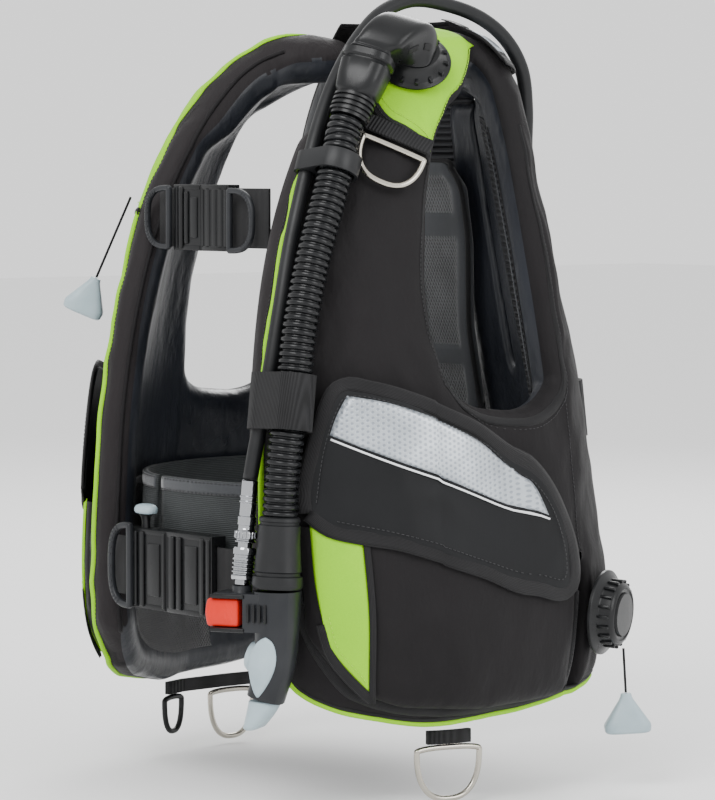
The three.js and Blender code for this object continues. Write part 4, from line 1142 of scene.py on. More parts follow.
def pocketHeight(theta):
    u = (np.asarray(theta, float) - pocketCut["from"]) / (pocketCut["to"] - pocketCut["from"])
    return pocketCut["lift"] + 2 + pocketCut["depth"] * np.sin(np.pi * np.clip(u, 0.05, 0.95))**0.5


def onPocket(theta, z, lift, side="left", inside=False):
    p = raised(theta, z, pocketHeight(theta) + np.asarray(lift, float))
    return p if side == "left" else p * [-1, 1, 1]


def onFlap(theta, z, lift, side="left", inside=False):
    return onPocket(theta, z, np.asarray(lift, float) + pocketCut["flapClear"]
                    + pocketCut["flapThickness"], side)


def makePocket(side):
    bm = bmesh.new()

    def placed(u, v, back=False):
        theta = 40 + 62 * u
        low = reading(pocketBottom, theta)
        z = low + (pocketCut["top"] - low) * v
        d = np.minimum(np.minimum(u, 1 - u) * 215, np.minimum(v, 1 - v + 0.06) * 140)
        e = np.clip(d / 15, 0, 1)
        full = pocketHeight(theta)
        base = pocketCut["lift"] - 0.6
        out = base + (full + 0.9 - base) * np.sqrt(1 - (1 - e)**2) if not back else np.full(len(u),
                base - 0.2)
        if not back:
            p = surface(theta, z)
            out += folded(p, 1.5, 9.1 if side == "left" else 3.3) * e
        p = raised(theta, z, out)
        return (p if side == "left" else p * [-1, 1, 1]), np.stack([theta * perDegree, z], -1)
    drawPatch(bm, 44, 30, lambda u, v: placed(spread(u, 215, True, True), spread(v, 140, True, True)))
    drawPatch(bm, 44, 30, lambda u, v: placed(spread(u, 215, True, True), spread(v, 140, True, True),
                                              True), flip=True)
    if side == "right":
        bmesh.ops.reverse_faces(bm, faces=bm.faces)
    bmesh.ops.remove_doubles(bm, verts=bm.verts, dist=4e-4)
    obj = asObject(bm, f"{side}_pocket_bag", nylon, "vest", [f"{side}_pocket"], levels=1)
    wedge = coons([(44.5, 96), (46.5, 74), (54.5, 40)], [(42.5, 178), (48, 170), (54, 164)],
                  [(44.5, 96), (43, 130), (42.5, 178)], [(54.5, 40), (54.6, 100), (54, 164)])
    sewnSheet(f"{side}_pocket_gusset", wedge, 14, 26, 3.6, lime, side, 1.0, on=onPocket)
    ribbon(f"{side}_gusset_binding", [(44, 98), (46, 73), (50, 54), (54.5, 38)], 8, 3.2, binding, side,
           crown=0.8, on=onPocket)
    ribbon(f"{side}_gusset_seam", [(54.7, 36), (54.9, 100), (54.4, 168)], 5, 3.4, binding, side,
           crown=0.6, on=onPocket)
    stitches(f"{side}_gusset_stitches", [(45.8, 104), (47.5, 80), (51.5, 62), (53.6, 52)], 3.9, side,
             material=limeThread,
             on=onPocket)
    around = [(37.6, 168), (37.8, 140), (39.8, 98), (42.5, 76), (50, 40), (61.5, 25.5), (84, 20),
              (99, 24), (103.6, 42), (104.6, 90), (104.6, 112)]
    ribbon(f"{side}_pocket_binding", around, 11, 0.4, binding, side, crown=1.4, thickness=1.6)
    stitches(f"{side}_pocket_stitches", [(a * 0.985 + 1.1, z + (4 if z < 100 else 0)) for a, z in around],
             1.9, side)


def makeFlap(side):
    body = f"{side}_flap"

    def lay(u, v):
        theta = 41.5 + 58.5 * u
        low, high = reading(flapBottom, theta), reading(flapTop, theta)
        return theta, low + (high - low) * v
    bm = bmesh.new()

    def placed(u, v):
        theta, z = lay(u, v)
        rim = np.minimum(np.minimum(u * 205, (1 - u) * 205),
                         np.minimum(v, 1 - v) * np.maximum(reading(flapTop, theta) - reading(flapBottom,
                                 theta), 1))
        ease = np.sqrt(1 - (1 - np.clip(rim / 7, 0, 1))**2)
        wave = folded(surface(theta, z), 0.7, 2.2)
        return onFlap(theta, z, -2.2 + 2.2 * ease + wave * ease, side), np.stack([theta * perDegree, z],
                -1)
    drawPatch(bm, 40, 26, placed)
    if side == "right":
        bmesh.ops.reverse_faces(bm, faces=bm.faces)
    obj = asObject(bm, f"{side}_flap_skin", flapSkin, body, [f"{side}_pocket_flap"])
    thicken(obj, 2.4)
    soften(obj)
    rimLine = [(41.8, 187), (41.8, 212), (46.9, 275), (50.8, 289.5), (56, 287), (62.5, 280.5), (72, 267),
               (82.5, 249.5), (90.6, 220.5), (96.5, 187), (99.6, 152), (99.4, 122),
               (95.5, 113.5), (90, 121), (82.5, 135), (72, 148), (62, 161), (54, 167), (47, 173.5),
               (42.4, 186)]
    ribbon(f"{side}_flap_binding", rimLine, 12, -0.4, binding, side, crown=1.1, thickness=2.2, body=body,
           on=onFlap, step=5)
    stitches(f"{side}_flap_stitches", [(44.3, 196), (46, 235), (48.8, 268), (52, 280.5), (62, 273),
                                       (81.5, 243), (88.5, 218), (94.2, 186), (96.8, 152), (96.2, 126),
                                      (91, 130), (82, 144), (62, 169), (48, 181)], 1.3, side, body=body,
             on=onFlap)
    strip = coons([(47.4, 250), (62, 228), (80, 202), (93.6, 178)],
                  [(51.2, 281), (62.5, 272), (80, 246), (88.6, 219)],
                  [(47.4, 250), (49, 266), (51.2, 281)], [(93.6, 178), (91.5, 200), (88.6, 219)])
    sewnSheet(f"{side}_flap_strip", strip, 34, 12, 1.5, reflective, side, 0.5, body=body,
              on=onFlap)
    ribbon(f"{side}_flap_line", [(47.6, 246.5), (62, 224.5), (80, 198.5), (93.6, 174.6)], 1.6, 1.5,
           paleLine, side, crown=0.1, thickness=0.3,
           body=body, on=onFlap, cross=2)


paleLine = startMaterial("palePrintedLine", 0.45, base=(0.75, 0.76, 0.78))[0]
for side in ("left", "right"):
    makePocket(side)
    makeFlap(side)
print("pockets sewn")


# Collar, yoke flap, back pad and linings
def makeCollar():
    neck = smoothLine(neckEdge, 200)
    bm = bmesh.new()

    def placed(u, v, back=False):
        k = np.linspace(0, 1, 200)
        t = 1 + (0.8 - 1) * v
        start, z = np.interp(t, k, neck[:, 0]) + 3.4, np.interp(t, k, neck[:, 1])
        theta = start + (360 - 2 * start) * u
        p, n = surface(theta, z), outward(theta, z)
        width = np.linalg.norm(surface(np.full(len(u), 180.0), z) - surface(start, z), axis=1) * 2
        d = np.minimum(np.minimum(u, 1 - u) * width, np.minimum(v, 1 - v) * 62)
        half = 19 * np.sqrt(1 - (1 - np.clip(d / 18, 0, 1))**2)
        out = -18 - half if back else -18 + half
        if not back:
            out += folded(p, 1.4, 6.0) * np.clip(d / 14, 0, 1)
        return p + n * out[:, None], np.stack([theta * perDegree, z], -1)
    for back in (False, True):
        drawPatch(bm, 40, 20, lambda u, v, b=back: placed(spread(u, 120, True, True),
                                                          spread(v, 62, True, True), b),
                  1 if back else 0, flip=back)
    bmesh.ops.remove_doubles(bm, verts=bm.verts, dist=3e-4)
    bmesh.ops.recalc_face_normals(bm, faces=bm.faces)
    obj = asObject(bm, "collar", [nylon, liner], "vest", ["neck_collar"], levels=1)


def onYoke(theta, z, lift, side="left", inside=False):
    return raised(theta, z, np.asarray(lift, float) + 4.6)


def makeYoke():
    def lay(u, v):
        side = 2 * u - 1
        theta = 180 + side * (64 + 2 * v)
        low = 556 - 10 * (1 - side * side)
        return theta, low + (588 - low) * v
    bm = bmesh.new()

    def placed(u, v):
        theta, z = lay(u, v)
        return onYoke(theta, z, folded(surface(theta, z), 0.6, 8.0)), np.stack([theta * perDegree, z], -1)
    drawPatch(bm, 46, 8, placed)
    obj = asObject(bm, "yoke_cover", nylon, "vest", ["yoke_flap"])
    thicken(obj, 2)
    soften(obj)

    def at(u, v):
        return tuple(float(c[0]) for c in lay(np.array([u]), np.array([v])))
    low, high = ([at(u, v) for u in np.linspace(0.004, 0.996, 24)] for v in (0.03, 0.97))
    ends = [[at(u, v) for v in np.linspace(0.03, 0.97, 8)] for u in (0.01, 0.99)]
    ribbon("yoke_binding_low", low, 8, 0.1, binding, crown=0.6, on=onYoke)
    ribbon("yoke_binding_high", high, 7, 0.1, binding, crown=0.6, on=onYoke)
    for k, line in enumerate(ends):
        ribbon(f"yoke_binding_end_{k}", line, 7, 0.1, binding, crown=0.6, on=onYoke, step=4)
    middle = [at(u, 0.52) for u in np.linspace(0.03, 0.97, 30)]
    ribbon("yoke_strip", middle, 17, 0.25, reflective, crown=0.2, thickness=0.4, on=onYoke)


def makeLinings(side):
    inner = coons([(113.5, 268), (125, 264), (138, 262), (150, 262)],
                  [(117, 505), (126, 512), (138, 515), (150, 515)],
                  [(113.5, 268), (113, 330), (114, 400), (115.5, 460), (117, 505)],
                  [(150, 262), (150, 350), (150, 430), (150, 515)])
    sewnSheet(f"{side}_elastic_panel", inner, 18, 60, 1.6, elastic, side, 1.2, inside=True)
    ribbon(f"{side}_lining_tape", [(111.5, 282), (111, 330), (111.6, 400), (113, 460), (115, 512)], 10,
           0.4, binding, side, inside=True, crown=0.7)
    ribbon(f"{side}_zip_tape", [(115, 284), (114.6, 330), (115.2, 400), (116.6, 460), (118.4, 505)], 5,
           2.2, padCloth, side, inside=True, crown=0.5)
    net = coons([(36, 66), (52, 36), (70, 24), (88, 26)], [(34, 200), (50, 200), (70, 200), (88, 200)],
                [(36, 66), (34, 110), (34, 200)], [(88, 26), (88, 110), (88, 200)])
    sewnSheet(f"{side}_inner_net", net, 24, 22, 1.0, innerNet, side, 0.8, inside=True)


padCut = {"outline": [(245, 60), (270, 66), (330, 64), (400, 74), (450, 72), (475, 50)], "thickness": 12}


def makeBackPad():
    bm = bmesh.new()

    def base(z):
        return column(3, z) - shellCut["thickness"] - 2 - 3

    def placed(u, v, back=False):
        z = 245 + (475 - 245) * v
        wide = reading(padCut["outline"], z)
        x = (2 * u - 1) * wide
        d = np.minimum(np.minimum(u, 1 - u) * 2 * wide, np.minimum(v, 1 - v) * 230)
        half = 6.2 * np.sqrt(1 - (1 - np.clip(d / 9, 0, 1))**2)
        window = padWindow(x, z)
        front = -6 - half + 2.6 * window
        y = base(z) + (-6 + half if back else front)
        return np.stack([x, y, z], -1), np.stack([x, z], -1)

    def padWindow(x, z):
        wide = reading(padCut["outline"], z) - 13
        top, low, mid = (310, 408), (426, 462), (258, 296)
        inBand = sum(np.clip((z - a) / 3, 0, 1) * np.clip((b - z) / 3, 0, 1) for a, b in (top, low, mid))
        return np.clip(inBand, 0, 1) * np.clip((wide - np.abs(x)) / 3, 0,
                                               1) * np.clip((np.abs(x) - 7) / 3, 0, 1)
    drawPatch(bm, 60, 84, lambda u, v: placed(spread(u, 130, True, True), spread(v, 230, True, True)), 0)
    drawPatch(bm, 60, 84, lambda u, v: placed(spread(u, 130, True, True), spread(v, 230, True, True),
                                              True), 0, flip=True)
    layer = bm.verts.layers.float_vector["cloth"]
    for f in bm.faces:
        c = np.mean([v[layer][:2] for v in f.verts], axis=0) * 1000
        if padWindow(c[:1], c[1:2])[0] > 0.5:
            f.material_index = 1
    bmesh.ops.remove_doubles(bm, verts=bm.verts, dist=3e-4)
    bmesh.ops.recalc_face_normals(bm, faces=bm.faces)
    obj = asObject(bm, "back_cushion", [padCloth, padNet], "vest", ["back_pad"], levels=1)
    rim = [(x, z) for x, z in ((-48, 473), (-58, 466), (-69, 450), (-72, 425), (-72, 400), (-63, 335),
                               (-63, 300), (-64, 268), (-58, 248))]
    points = [[x, float(base(np.array(z))) - 9, z] for x, z in rim]
    ring = points + [[-x, y, z] for x, y, z in points[::-1]]
    bm = bmesh.new()
    drawTube(bm, ring, lambda t: (2.8, 2.2, 2), around=12, along=140, closed=True)
    asObject(bm, "back_cushion_binding", binding, "vest", ())


# Ribbed elastic that joins the two sides above the cushion.
def makeUpperBack():
    bm = bmesh.new()

    def placed(u, v, back=False):
        x, z = (2 * u - 1) * 66, 446 + 106 * v
        d = np.minimum(np.minimum(u, 1 - u) * 132, np.minimum(v, 1 - v) * 106)
        half = 3.2 * np.sqrt(1 - (1 - np.clip(d / 5, 0, 1))**2)
        y = column(3, z) - 20 - 0.0016 * x * x + (half if back else -half)
        return np.stack([x, y, z], -1), np.stack([x, z], -1)
    for back in (False, True):
        drawPatch(bm, 34, 40, lambda u, v, b=back: placed(u, v, b), flip=back)
    bmesh.ops.remove_doubles(bm, verts=bm.verts, dist=1e-4)
    bmesh.ops.recalc_face_normals(bm, faces=bm.faces)
    obj = asObject(bm, "upper_back_elastic", elastic, "vest", ())


makeCollar()
makeYoke()
makeUpperBack()
for side in ("left", "right"):
    makeLinings(side)
makeBackPad()
print("collar, yoke and linings sewn")


# Cummerbund
wrap = {"depth": 41, "thickness": 4, "top": 206, "bottom": 92, "ends": {"left": -12, "right": 16},
        "last": 150}


def makeWrap(side):
    sign = 1 if side == "left" else -1
    first = wrap["ends"][side]
    bm = bmesh.new()

    def placed(u, v, lift=0.0):
        theta = first + (wrap["last"] - first) * u
        z = wrap["bottom"] + (wrap["top"] - wrap["bottom"]) * v
        s = np.sin(np.radians(theta))
        c = np.cos(np.radians(theta))
        e = 2 / (2.15 + 1.25 * (0.5 - 0.5 * np.clip(c * 3, -1, 1)))
        a = column(1, z) - wrap["depth"] + lift
        f = column(2, z) - wrap["depth"] + lift
        b = column(3, z) - wrap["depth"] + lift
        sag = 1.2 * np.sin(theta / 7.0) * (1 - v)**2
        a, f, b = a - np.abs(sag), f - np.abs(sag), b - np.abs(sag)
        p = np.stack([a * np.sign(s) * np.abs(s)**e, np.where(c > 0, -f, b) * np.abs(c)**e, z], -1)
        return p * [sign, 1, 1], np.stack([theta * 3.2, z], -1)
    drawPatch(bm, 80, 18, placed)
    if side == "right":
        bmesh.ops.reverse_faces(bm, faces=bm.faces)
    obj = asObject(bm, f"{side}_wrap", gridCloth, "vest", [f"{side}_cummerbund"])
    thicken(obj, 3.6)

    def band(name, v, wide, material):
        def strip(u, w):
            return placed(u, np.clip(v + (w - 0.5) * wide / 114, 0, 1), 0.55 + 0.5 * (1 - (2 * w - 1)**2))
        b2 = bmesh.new()
        drawPatch(b2, 80, 3, strip)
        if side == "right":
            bmesh.ops.reverse_faces(b2, faces=b2.faces)
        tape = asObject(b2, name, material, "vest", ())
        thicken(tape, 0.8)
    band(f"{side}_wrap_hem", 0.945, 11, padCloth)
    band(f"{side}_wrap_foot", 0.03, 6, binding)
    for k, v in enumerate((0.905, 0.985)):
        u = np.linspace(0.003, 0.997, 2 * 110 + 1)
        points, lie = placed(u, np.full(len(u), v), 1.3)
        threadRow(f"{side}_wrap_stitches_{k}", points, 2.4, thread, "vest")


for side in ("left", "right"):
    makeWrap(side)
print("cummerbund made")


# Hoses and shoulder fitting
cuffTop, cuffBottom = np.array([134.0, -91, 558]), np.array([136.0, -116, 507])
cuffUp = unit(cuffTop - cuffBottom)
port = {"spot": (71, 553), "seat": 3.5, "top": 19.1, "segments": 14,
        "segment": ((22.4, -1.5, 2.4), (29.6, 1.5, 7.2)),
        "profile": [(0, 0), (31, 0), (32, 0.8), (32, 2.2), (31, 3), (28.6, 3.4), (27.4, 4.6), (25, 7.4),
                    (22.6, 10.2),
                    (21.4, 12.6), (20.8, 15), (0, 15.4)]}
portOut = outward(*port["spot"])
portSeat = raised(*port["spot"], port["seat"])
portTop = raised(*port["spot"], port["top"])


def makePort():
    m = framed(portSeat, zAxis=portOut, xHint=(0, 0, 1))[0]
    bm = bmesh.new()
    drawTurned(bm, port["profile"], 72)
    ringOfBlocks(bm, port["segments"], *port["segment"], 0.8, 2)
    asObject(finished(bm, m), "shoulder_port_dome", blackPlastic, "vest", ["shoulder_port"],
             smooth="edges")


elbow = {"parts": 34, "bend": 19.5, "half": 16.5, "swell": (4.6, 3.4), "lip": 1.4,
         "slots": ((11, 16), (18, 23))}


# The elbow leaves the port square, turns over and comes down into the cuff.
def makeElbow():
    start, stop = unit(portOut), -cuffUp
    aside = unit(np.cross(start, stop))
    turn = math.acos(float(np.clip(start @ stop, -1, 1)))
    m = unit(stop - start * (start @ stop))
    bend = elbow["bend"]
    arc = bend * (math.sin(turn) * start + (1 - math.cos(turn)) * m)
    goal = cuffTop + cuffUp * 0.6 - portTop
    a, b = np.linalg.lstsq(np.stack([start, stop], -1), goal - arc, rcond=None)[0]
    a, b = max(a, 0), max(b, 3)
    off = goal - (arc + a * start + b * stop)
    sections, total = [], elbow["parts"]
    for k in range(total + 1):
        t = k / total
        if t < 0.14:
            c, d = portTop + start * (a * t / 0.14), start
        elif t < 0.72:
            phi = turn * (t - 0.14) / 0.58
            c = portTop + a * start + bend * (math.sin(phi) * start + (1 - math.cos(phi)) * m)
            d = math.cos(phi) * start + math.sin(phi) * m
        else:
            c, d = portTop + a * start + arc + stop * (b * (t - 0.72) / 0.28), stop
        soft = t * t * (3 - 2 * t)
        up = unit(np.cross(d, aside))
        w = elbow["half"] + elbow["swell"][0] * math.sin(math.pi * min(t * 1.1, 1))
        h = elbow["half"] + elbow["swell"][1] * math.sin(math.pi * t)
        sq = 2.4 + 3.4 * min(1, 3 * t, 3 * (1 - t) + 0.4)
        if 0.93 < t or t < 0.02:
            w, h = w + elbow["lip"], h + elbow["lip"]
        sections.append((c + off * soft, aside, up, w, h, sq))
    bm = bmesh.new()
    drawLoft(bm, sections, 32)
    asObject(bm, "elbow_shell", blackPlastic, "vest", ["shoulder_elbow"], levels=1)
    # Near-black strips on both flanks stand for the slots: a sheet painted as the shade inside them.
    slots = bmesh.new()
    for t0, t1 in elbow["slots"]:
        for e in (-1, 1):
            part = [(c + aside * e * (w + 0.2), up, unit(np.cross(aside * e, up)), 3.1, 0.8, 3) for c,
                    aside, up, w, h, sq in sections[t0:t1]]
            drawLoft(slots, [(c, u, aside, ww, hh, sq) for c, u, v, ww, hh, sq in part], 12)
    asObject(slots, "elbow_slots", slotShade, "vest", ())


# Near-black, the painted shade in the elbow's slots.
slotShade = startMaterial("paintedSlotShade", 0.8, base=(0.003, 0.003, 0.0035))[0]


# steps: (distance from the top, half width, half height, squareness).
def cuffSections(top, bottom, steps):
    down = unit(bottom - top)
    aside = unit(np.array([0.8, 0.6, 0]) - down * (down @ np.array([0.8, 0.6, 0])))
    up = np.cross(down, aside)
    return [(top + down * d, aside, up, w, h, sq) for d, w, h, sq in steps]


upperCuff = {"beads": 4, "beadPitch": 4.4, "steps": [(-1, 19, 17, 3), (-0.6, 21.2, 19.2, 3),
                                                     (5, 21.6, 19.6, 3), (6.2, 20.6, 18.6, 3),
                                                     (7, 19.4, 17.6, 3), (9, 19.4, 17.6, 3.4),
                                                     (10, 20.4, 18.2, 3.6), (22, 19.4, 17.6, 3.6),
                                                     (34, 17.8, 16.8, 3.2), (36, 16.6, 15.9, 2.6),
                                                     (37, 16.0, 15.6, 2.2)]}


def makeUpperCuff():
    length = float(np.linalg.norm(cuffBottom - cuffTop))
    bm = bmesh.new()
    steps = list(upperCuff["steps"])
    for k in range(upperCuff["beads"]):
        d = 38 + k * upperCuff["beadPitch"]
        steps += [(d, 15.7, 15.5, 2), (d + 0.5, 17.6, 17.2, 2), (d + 2.6, 17.5, 17.1, 2),
                  (d + 3.1, 15.6, 15.4, 2)]
    steps.append((length, 15.4, 15.4, 2))
    drawLoft(bm, cuffSections(cuffTop, cuffBottom, steps), 36)
    asObject(bm, "upper_cuff_shell", blackPlastic, "vest", ["upper_cuff"],
             smooth="edges")


hoseLine = [cuffBottom - cuffUp * 1.2, cuffBottom - cuffUp * 13.2, (139, -126.5, 484), (142, -137, 456),
            (145, -153, 416),
            (146, -164, 384), (148, -177, 336), (149, -184, 296), (149, -191, 254), (148, -195, 222),
            (147, -197, 186)]
hose = {"pitch": 5.8, "depth": 2.5, "radius": 14.6}


def makeHose():
    line = smoothLine(hoseLine, 400)
    run = np.linalg.norm(np.diff(line, axis=0), axis=1).sum()
    ribs = int(run / hose["pitch"])
    n = ribs * 7
    deep = hose["radius"] - hose["depth"]
    heights = [deep, deep + 0.1, hose["radius"] - 0.5, hose["radius"], hose["radius"] + 0.05,
               hose["radius"], hose["radius"] - 0.5]

    def radius(t):
        r = heights[int(round(t * n)) % 7]
        return r, r, 2
    bm = bmesh.new()
    drawTube(bm, line, radius, around=32, along=n)
    asObject(bm, "ribbed_hose", glossRubber, "vest", ["corrugated_hose"], smooth="edges")


lowerCuff = {"top": (147.0, -197.2, 185), "bottom": (147.0, -200, 127.8),
             "steps": [(-1, 15.2, 15.2, 2), (0, 16.6, 16.6, 2), (2.6, 16.9, 16.9, 2),
                       (3.2, 15.8, 15.8, 2), (5.2, 15.8, 15.8, 2), (6, 17, 17, 2), (22, 17.6, 17.6, 2),
                       (38, 18.8, 18.4, 2.1), (43, 19.3, 18.8, 2.2), (44, 18, 17.6, 2.2),
                       (46.4, 18, 17.6, 2.2), (47.2, 20, 19.4, 2.3)]}


def makeLowerCuff():
    top, bottom = np.array(lowerCuff["top"]), np.array(lowerCuff["bottom"])
    length = float(np.linalg.norm(bottom - top))
    bm = bmesh.new()
    steps = lowerCuff["steps"] + [(length - 3, 20.4, 19.8, 2.4), (length - 1, 20, 19.4, 2.4),
                                  (length, 19, 18.4, 2.4)]
    drawLoft(bm, cuffSections(top, bottom, steps), 40)
    asObject(bm, "bell_cuff", rubber, "vest", ["lower_cuff"], smooth="edges")


makePort()
makeElbow()
makeUpperCuff()
makeHose()
makeLowerCuff()
print("breathing hose made")


# Inflator head and coupling


def copied(name, node, body, material, bevel=0.8, segments=2):
    return asObject(refined(node, bevel, segments), name, material, body, [node], smooth="edges")


inflator = {"bands": (-4.4, -31.6), "slats": 4, "slatPitch": 5, "mouthParts": 14,
            "tear": ((0, 0.4), (0.06, 6), (0.16, 9.4), (0.3, 11.6), (0.45, 12), (0.6, 10.6), (0.78, 7.4),
                     (0.92, 4), (1, 0.6))}


def makeInflator():
    copied("inflator_shell", "inflator_body", "vest", charcoal, 1.6, 3)
    copied("red_button", "inflate_button", "inflate_button", redPlastic, 2.2, 3)
    copied("pale_button", "deflate_button", "deflate_button", palePlastic, 1.6, 3)
    turnX, turnY = (headLocal(v) - headLocal([0, 0, 0]) for v in np.eye(3)[:2])
    bm = bmesh.new()
    sections = []
    for t in np.linspace(0, 1, inflator["mouthParts"]):
        c = headLocal([-10.5 - 10.5 * t**1.3, 0, -89.7 - 23.3 * t])
        sections.append((c, turnX, turnY, 13 - 6.5 * t**1.4 - (2.5 if t > 0.97 else 0),
                         12 + 3 * math.sin(math.pi * t * 0.6) - (3 if t > 0.97 else 0), 2.5))
    drawLoft(bm, sections, 28)
    asObject(bm, "mouthpiece_scoop", palePlastic, "vest", ["mouthpiece"])
    trim = bmesh.new()
    for z in inflator["bands"]:
        drawBlock(trim, (-52.6, -16.6, z - 1.8), (-23, 16.6, z + 1.8), 1.2, 2)
    for k in range(inflator["slats"]):
        x = -20.5 + inflator["slatPitch"] * k
        drawBlock(trim, (x, -17.7, -25), (x + 2.5, -16, -10), 0.8, 2)
    asObject(finished(trim, headSeat), "inflator_trim", blackPlastic, "vest", (),
             smooth="edges")
    tear = bmesh.new()
    sections = []
    for t, r in inflator["tear"]:
        sections.append((headLocal([-4 - 8 * t, -16.2 + 3.6 * t, -36 - 50 * t]), turnX, turnY, r,
                         2.2 + r * 0.1, 2.2))
    drawLoft(tear, sections, 24)
    asObject(tear, "deflate_face", palePlastic, "deflate_button", (), levels=1)


def makeCoupling():
    m = framed(headLocal(coupling["foot"]), zAxis=unit(coupling["lean"]), xHint=(1, 0, 0))[0]
    bm = bmesh.new()
    drawTurned(bm, coupling["core"], 40)
    asObject(finished(bm, m), "coupling_core", chrome, "vest", ["coupling_body"],
             smooth="edges")
    bm = bmesh.new()
    profile = [(6.15, 4), (9.2, 4), (9.6, 4.6), (9.6, 7.4)]
    for k in range(coupling["ridges"]):
        h = 8.2 + coupling["ridgePitch"] * k
        profile += [(8.3, h), (8.3, h + 0.9), (9.5, h + 1.5), (9.5, h + 2.6)]
    profile += [(8.4, 22.4), (8.4, 24), (9.5, 24.6), (9.5, 28.6), (8.6, 30.2), (6.15, 30.4), (6.15, 4)]
    drawTurned(bm, profile, 40)
    asObject(finished(bm, m), "knurled_sleeve", chrome, "coupling_sleeve", ["coupling_sleeve"],
             smooth="edges")
    grips = bmesh.new()
    ringOfBlocks(grips, coupling["teeth"], *coupling["tooth"], 0.3, 1)
    asObject(finished(grips, m), "coupling_teeth", chrome, "vest", (), smooth="edges")


makeInflator()
makeCoupling()
copied("clip_shell", "hose_clip", "vest", rubber, 1.2)
copied("hose_band_cloth", "hose_band", "vest", objectWebbing, 0.8)
print("inflator made")


# Belts, buckles and loops
def makeBuckle(kind, y, z, right, split, left, height, thick, bars):
    for piece, node, body, lo, hi in (("case", f"{kind}_buckle_female", "vest", right, split),
                                      ("insert", f"{kind}_buckle_male", f"{kind}_buckle_male", split,
                                       left)):
        copied(f"{kind}_{piece}", node, body, blackPlastic, 1.6, 3)
        bm = bmesh.new()
        front = -thick / 2
        half = height / 2
        for x, wide, tall, lift in [b for b in bars if lo < b[0] < hi]:
            drawBlock(bm, (x - wide / 2, front - lift, -half * tall),
                      (x + wide / 2, front + 0.6, half * tall), min(1.4, wide / 3), 3)
        for e in (-1, 1):
            drawBlock(bm, (lo + 1.2, front - 0.6, e * (half - 2.4) - 2),
                      (hi - 1.2, front + 0.6, e * (half - 2.4) + 2), 0.5, 2)
        asObject(finished(bm, Matrix.Translation(spot(0, y, z))), f"{kind}_{piece}_bars", blackPlastic,
                 body, (), smooth="edges")
    for side in ("right", "left"):
        copied(f"{kind}_belt_{side}", f"{kind}_strap_{side}", "vest", objectWebbing, 0.5)


def makeLoop(name, node, origin, reach, half, wire, sign, teeth):
    points = []
    for k in range(72):
        phi = 2 * math.pi * k / 72
        c, s = math.cos(phi), math.sin(phi)
        x = reach * c**0.7 if c > 0 else 0.4 * c
        points.append(np.array(origin) + [sign * x, 0, half * math.copysign(abs(s)**0.7, s)])
    bm = bmesh.new()
    drawTube(bm, points, lambda t: (wire / 2, wire / 2, 2.8), around=16, along=150, closed=True,
             side=(0, 1, 0))
    for k in teeth:
        phi = math.radians(k)
        c, s = math.cos(phi), math.sin(phi)
        at = np.array(origin) + [sign * (reach - 0.4) * c**0.7, -wire / 2 + 0.25,
                                 half * math.copysign(abs(s)**0.7, s)]
        part = bmesh.new()
        drawBlock(part, (-wire * 0.36, -0.55, -0.7), (wire * 0.36, 0.55, 0.7), 0.25, 1)
        turn = Matrix.Rotation(-phi * sign, 4, "Y")
        bmesh.ops.transform(part, matrix=Matrix.Translation(spot(*at)) @ turn, verts=part.verts)
        joined(bm, part)
    asObject(bm, name, charcoal, node, [node], smooth="edges")


buckles = {
    "chest": {"y": -149.3, "z": 425, "right": -48, "split": -10, "left": 27, "height": 56, "thick": 13,
              "bars": [(-44, 4.4, 0.94, 0.9), (-36.5, 5, 0.94, 2.2), (-29, 4.4, 0.8, 2.2),
                       (-19, 9, 0.62, 1.5),
                       (-7.5, 3, 0.9, 0.6), (0, 5, 0.9, 0.6), (8.5, 5.4, 0.86, 0.6), (17, 5, 0.9, 0.6),
                       (24, 3.6, 0.9, 0.6)]},
    "waist": {"y": -187.2, "z": 128, "right": -66, "split": -8, "left": 54, "height": 68, "thick": 15,
              "bars": [(-61, 5, 0.94, 1.8), (-51, 6, 0.94, 2.4), (-41, 6, 0.94, 2.4),
                       (-25, 17, 0.66, 1.7),
                       (-11, 3.6, 0.94, 1.8), (1, 6, 0.9, 2.4), (11, 6, 0.9, 2.6), (27, 16, 0.72, 1.8),
                       (42, 5, 0.94, 2.2), (50, 4.6, 0.94, 1.8)]}}
loops = {
    "chest_pull_right": {"node": "chest_loop_right", "origin": (-50, -149.3 - 10.1, 425), "reach": 30,
                         "half": 25,
                         "wire": 5, "sign": -1, "teeth": range(-60, 61, 8)},
    "chest_pull_left": {"node": "chest_loop_left", "origin": (34, -149.3 - 10.1, 423), "reach": 30,
                        "half": 25,
                        "wire": 5, "sign": 1, "teeth": range(-60, 61, 8)},
    "waist_pull": {"node": "waist_pull_loop", "origin": (-54, -187.2 - 11.7, 130), "reach": 26,
                   "half": 34,
                   "wire": 6, "sign": -1, "teeth": range(-64, 65, 9)}}
for kind, sizes in buckles.items():
    makeBuckle(kind, **sizes)
for name, sizes in loops.items():
    makeLoop(name, **sizes)


cap = {"x": -45, "y": -188, "z": 158, "stem": ((0, 5), (2, 4.4), (9, 4), (13, 5.2), (15, 7), (16, 6.4)),
       "top": ((16, 8), (16.6, 11), (18.4, 12.4), (21, 12.2), (23, 10.4), (24.2, 7), (24.6, 2))}


# Small oval thumb piece that stands on the waist buckle's upper edge.
def makeCap():
    x, y = np.eye(3)[:2]
    bm = bmesh.new()
    drawLoft(bm, [((cap["x"], cap["y"], cap["z"] + h), x, y, w, w * 0.7, 2.6) for h, w in cap["stem"]],
             20)
    asObject(bm, "thumb_stem", blackPlastic, "vest", (), smooth="edges")
    bm = bmesh.new()
    drawLoft(bm, [((cap["x"], cap["y"], cap["z"] + h), x, y, w, w * 0.62, 2.3) for h, w in cap["top"]],
             28)
    asObject(bm, "thumb_cap", palePlastic, "vest", ())


makeCap()
print("buckles made")


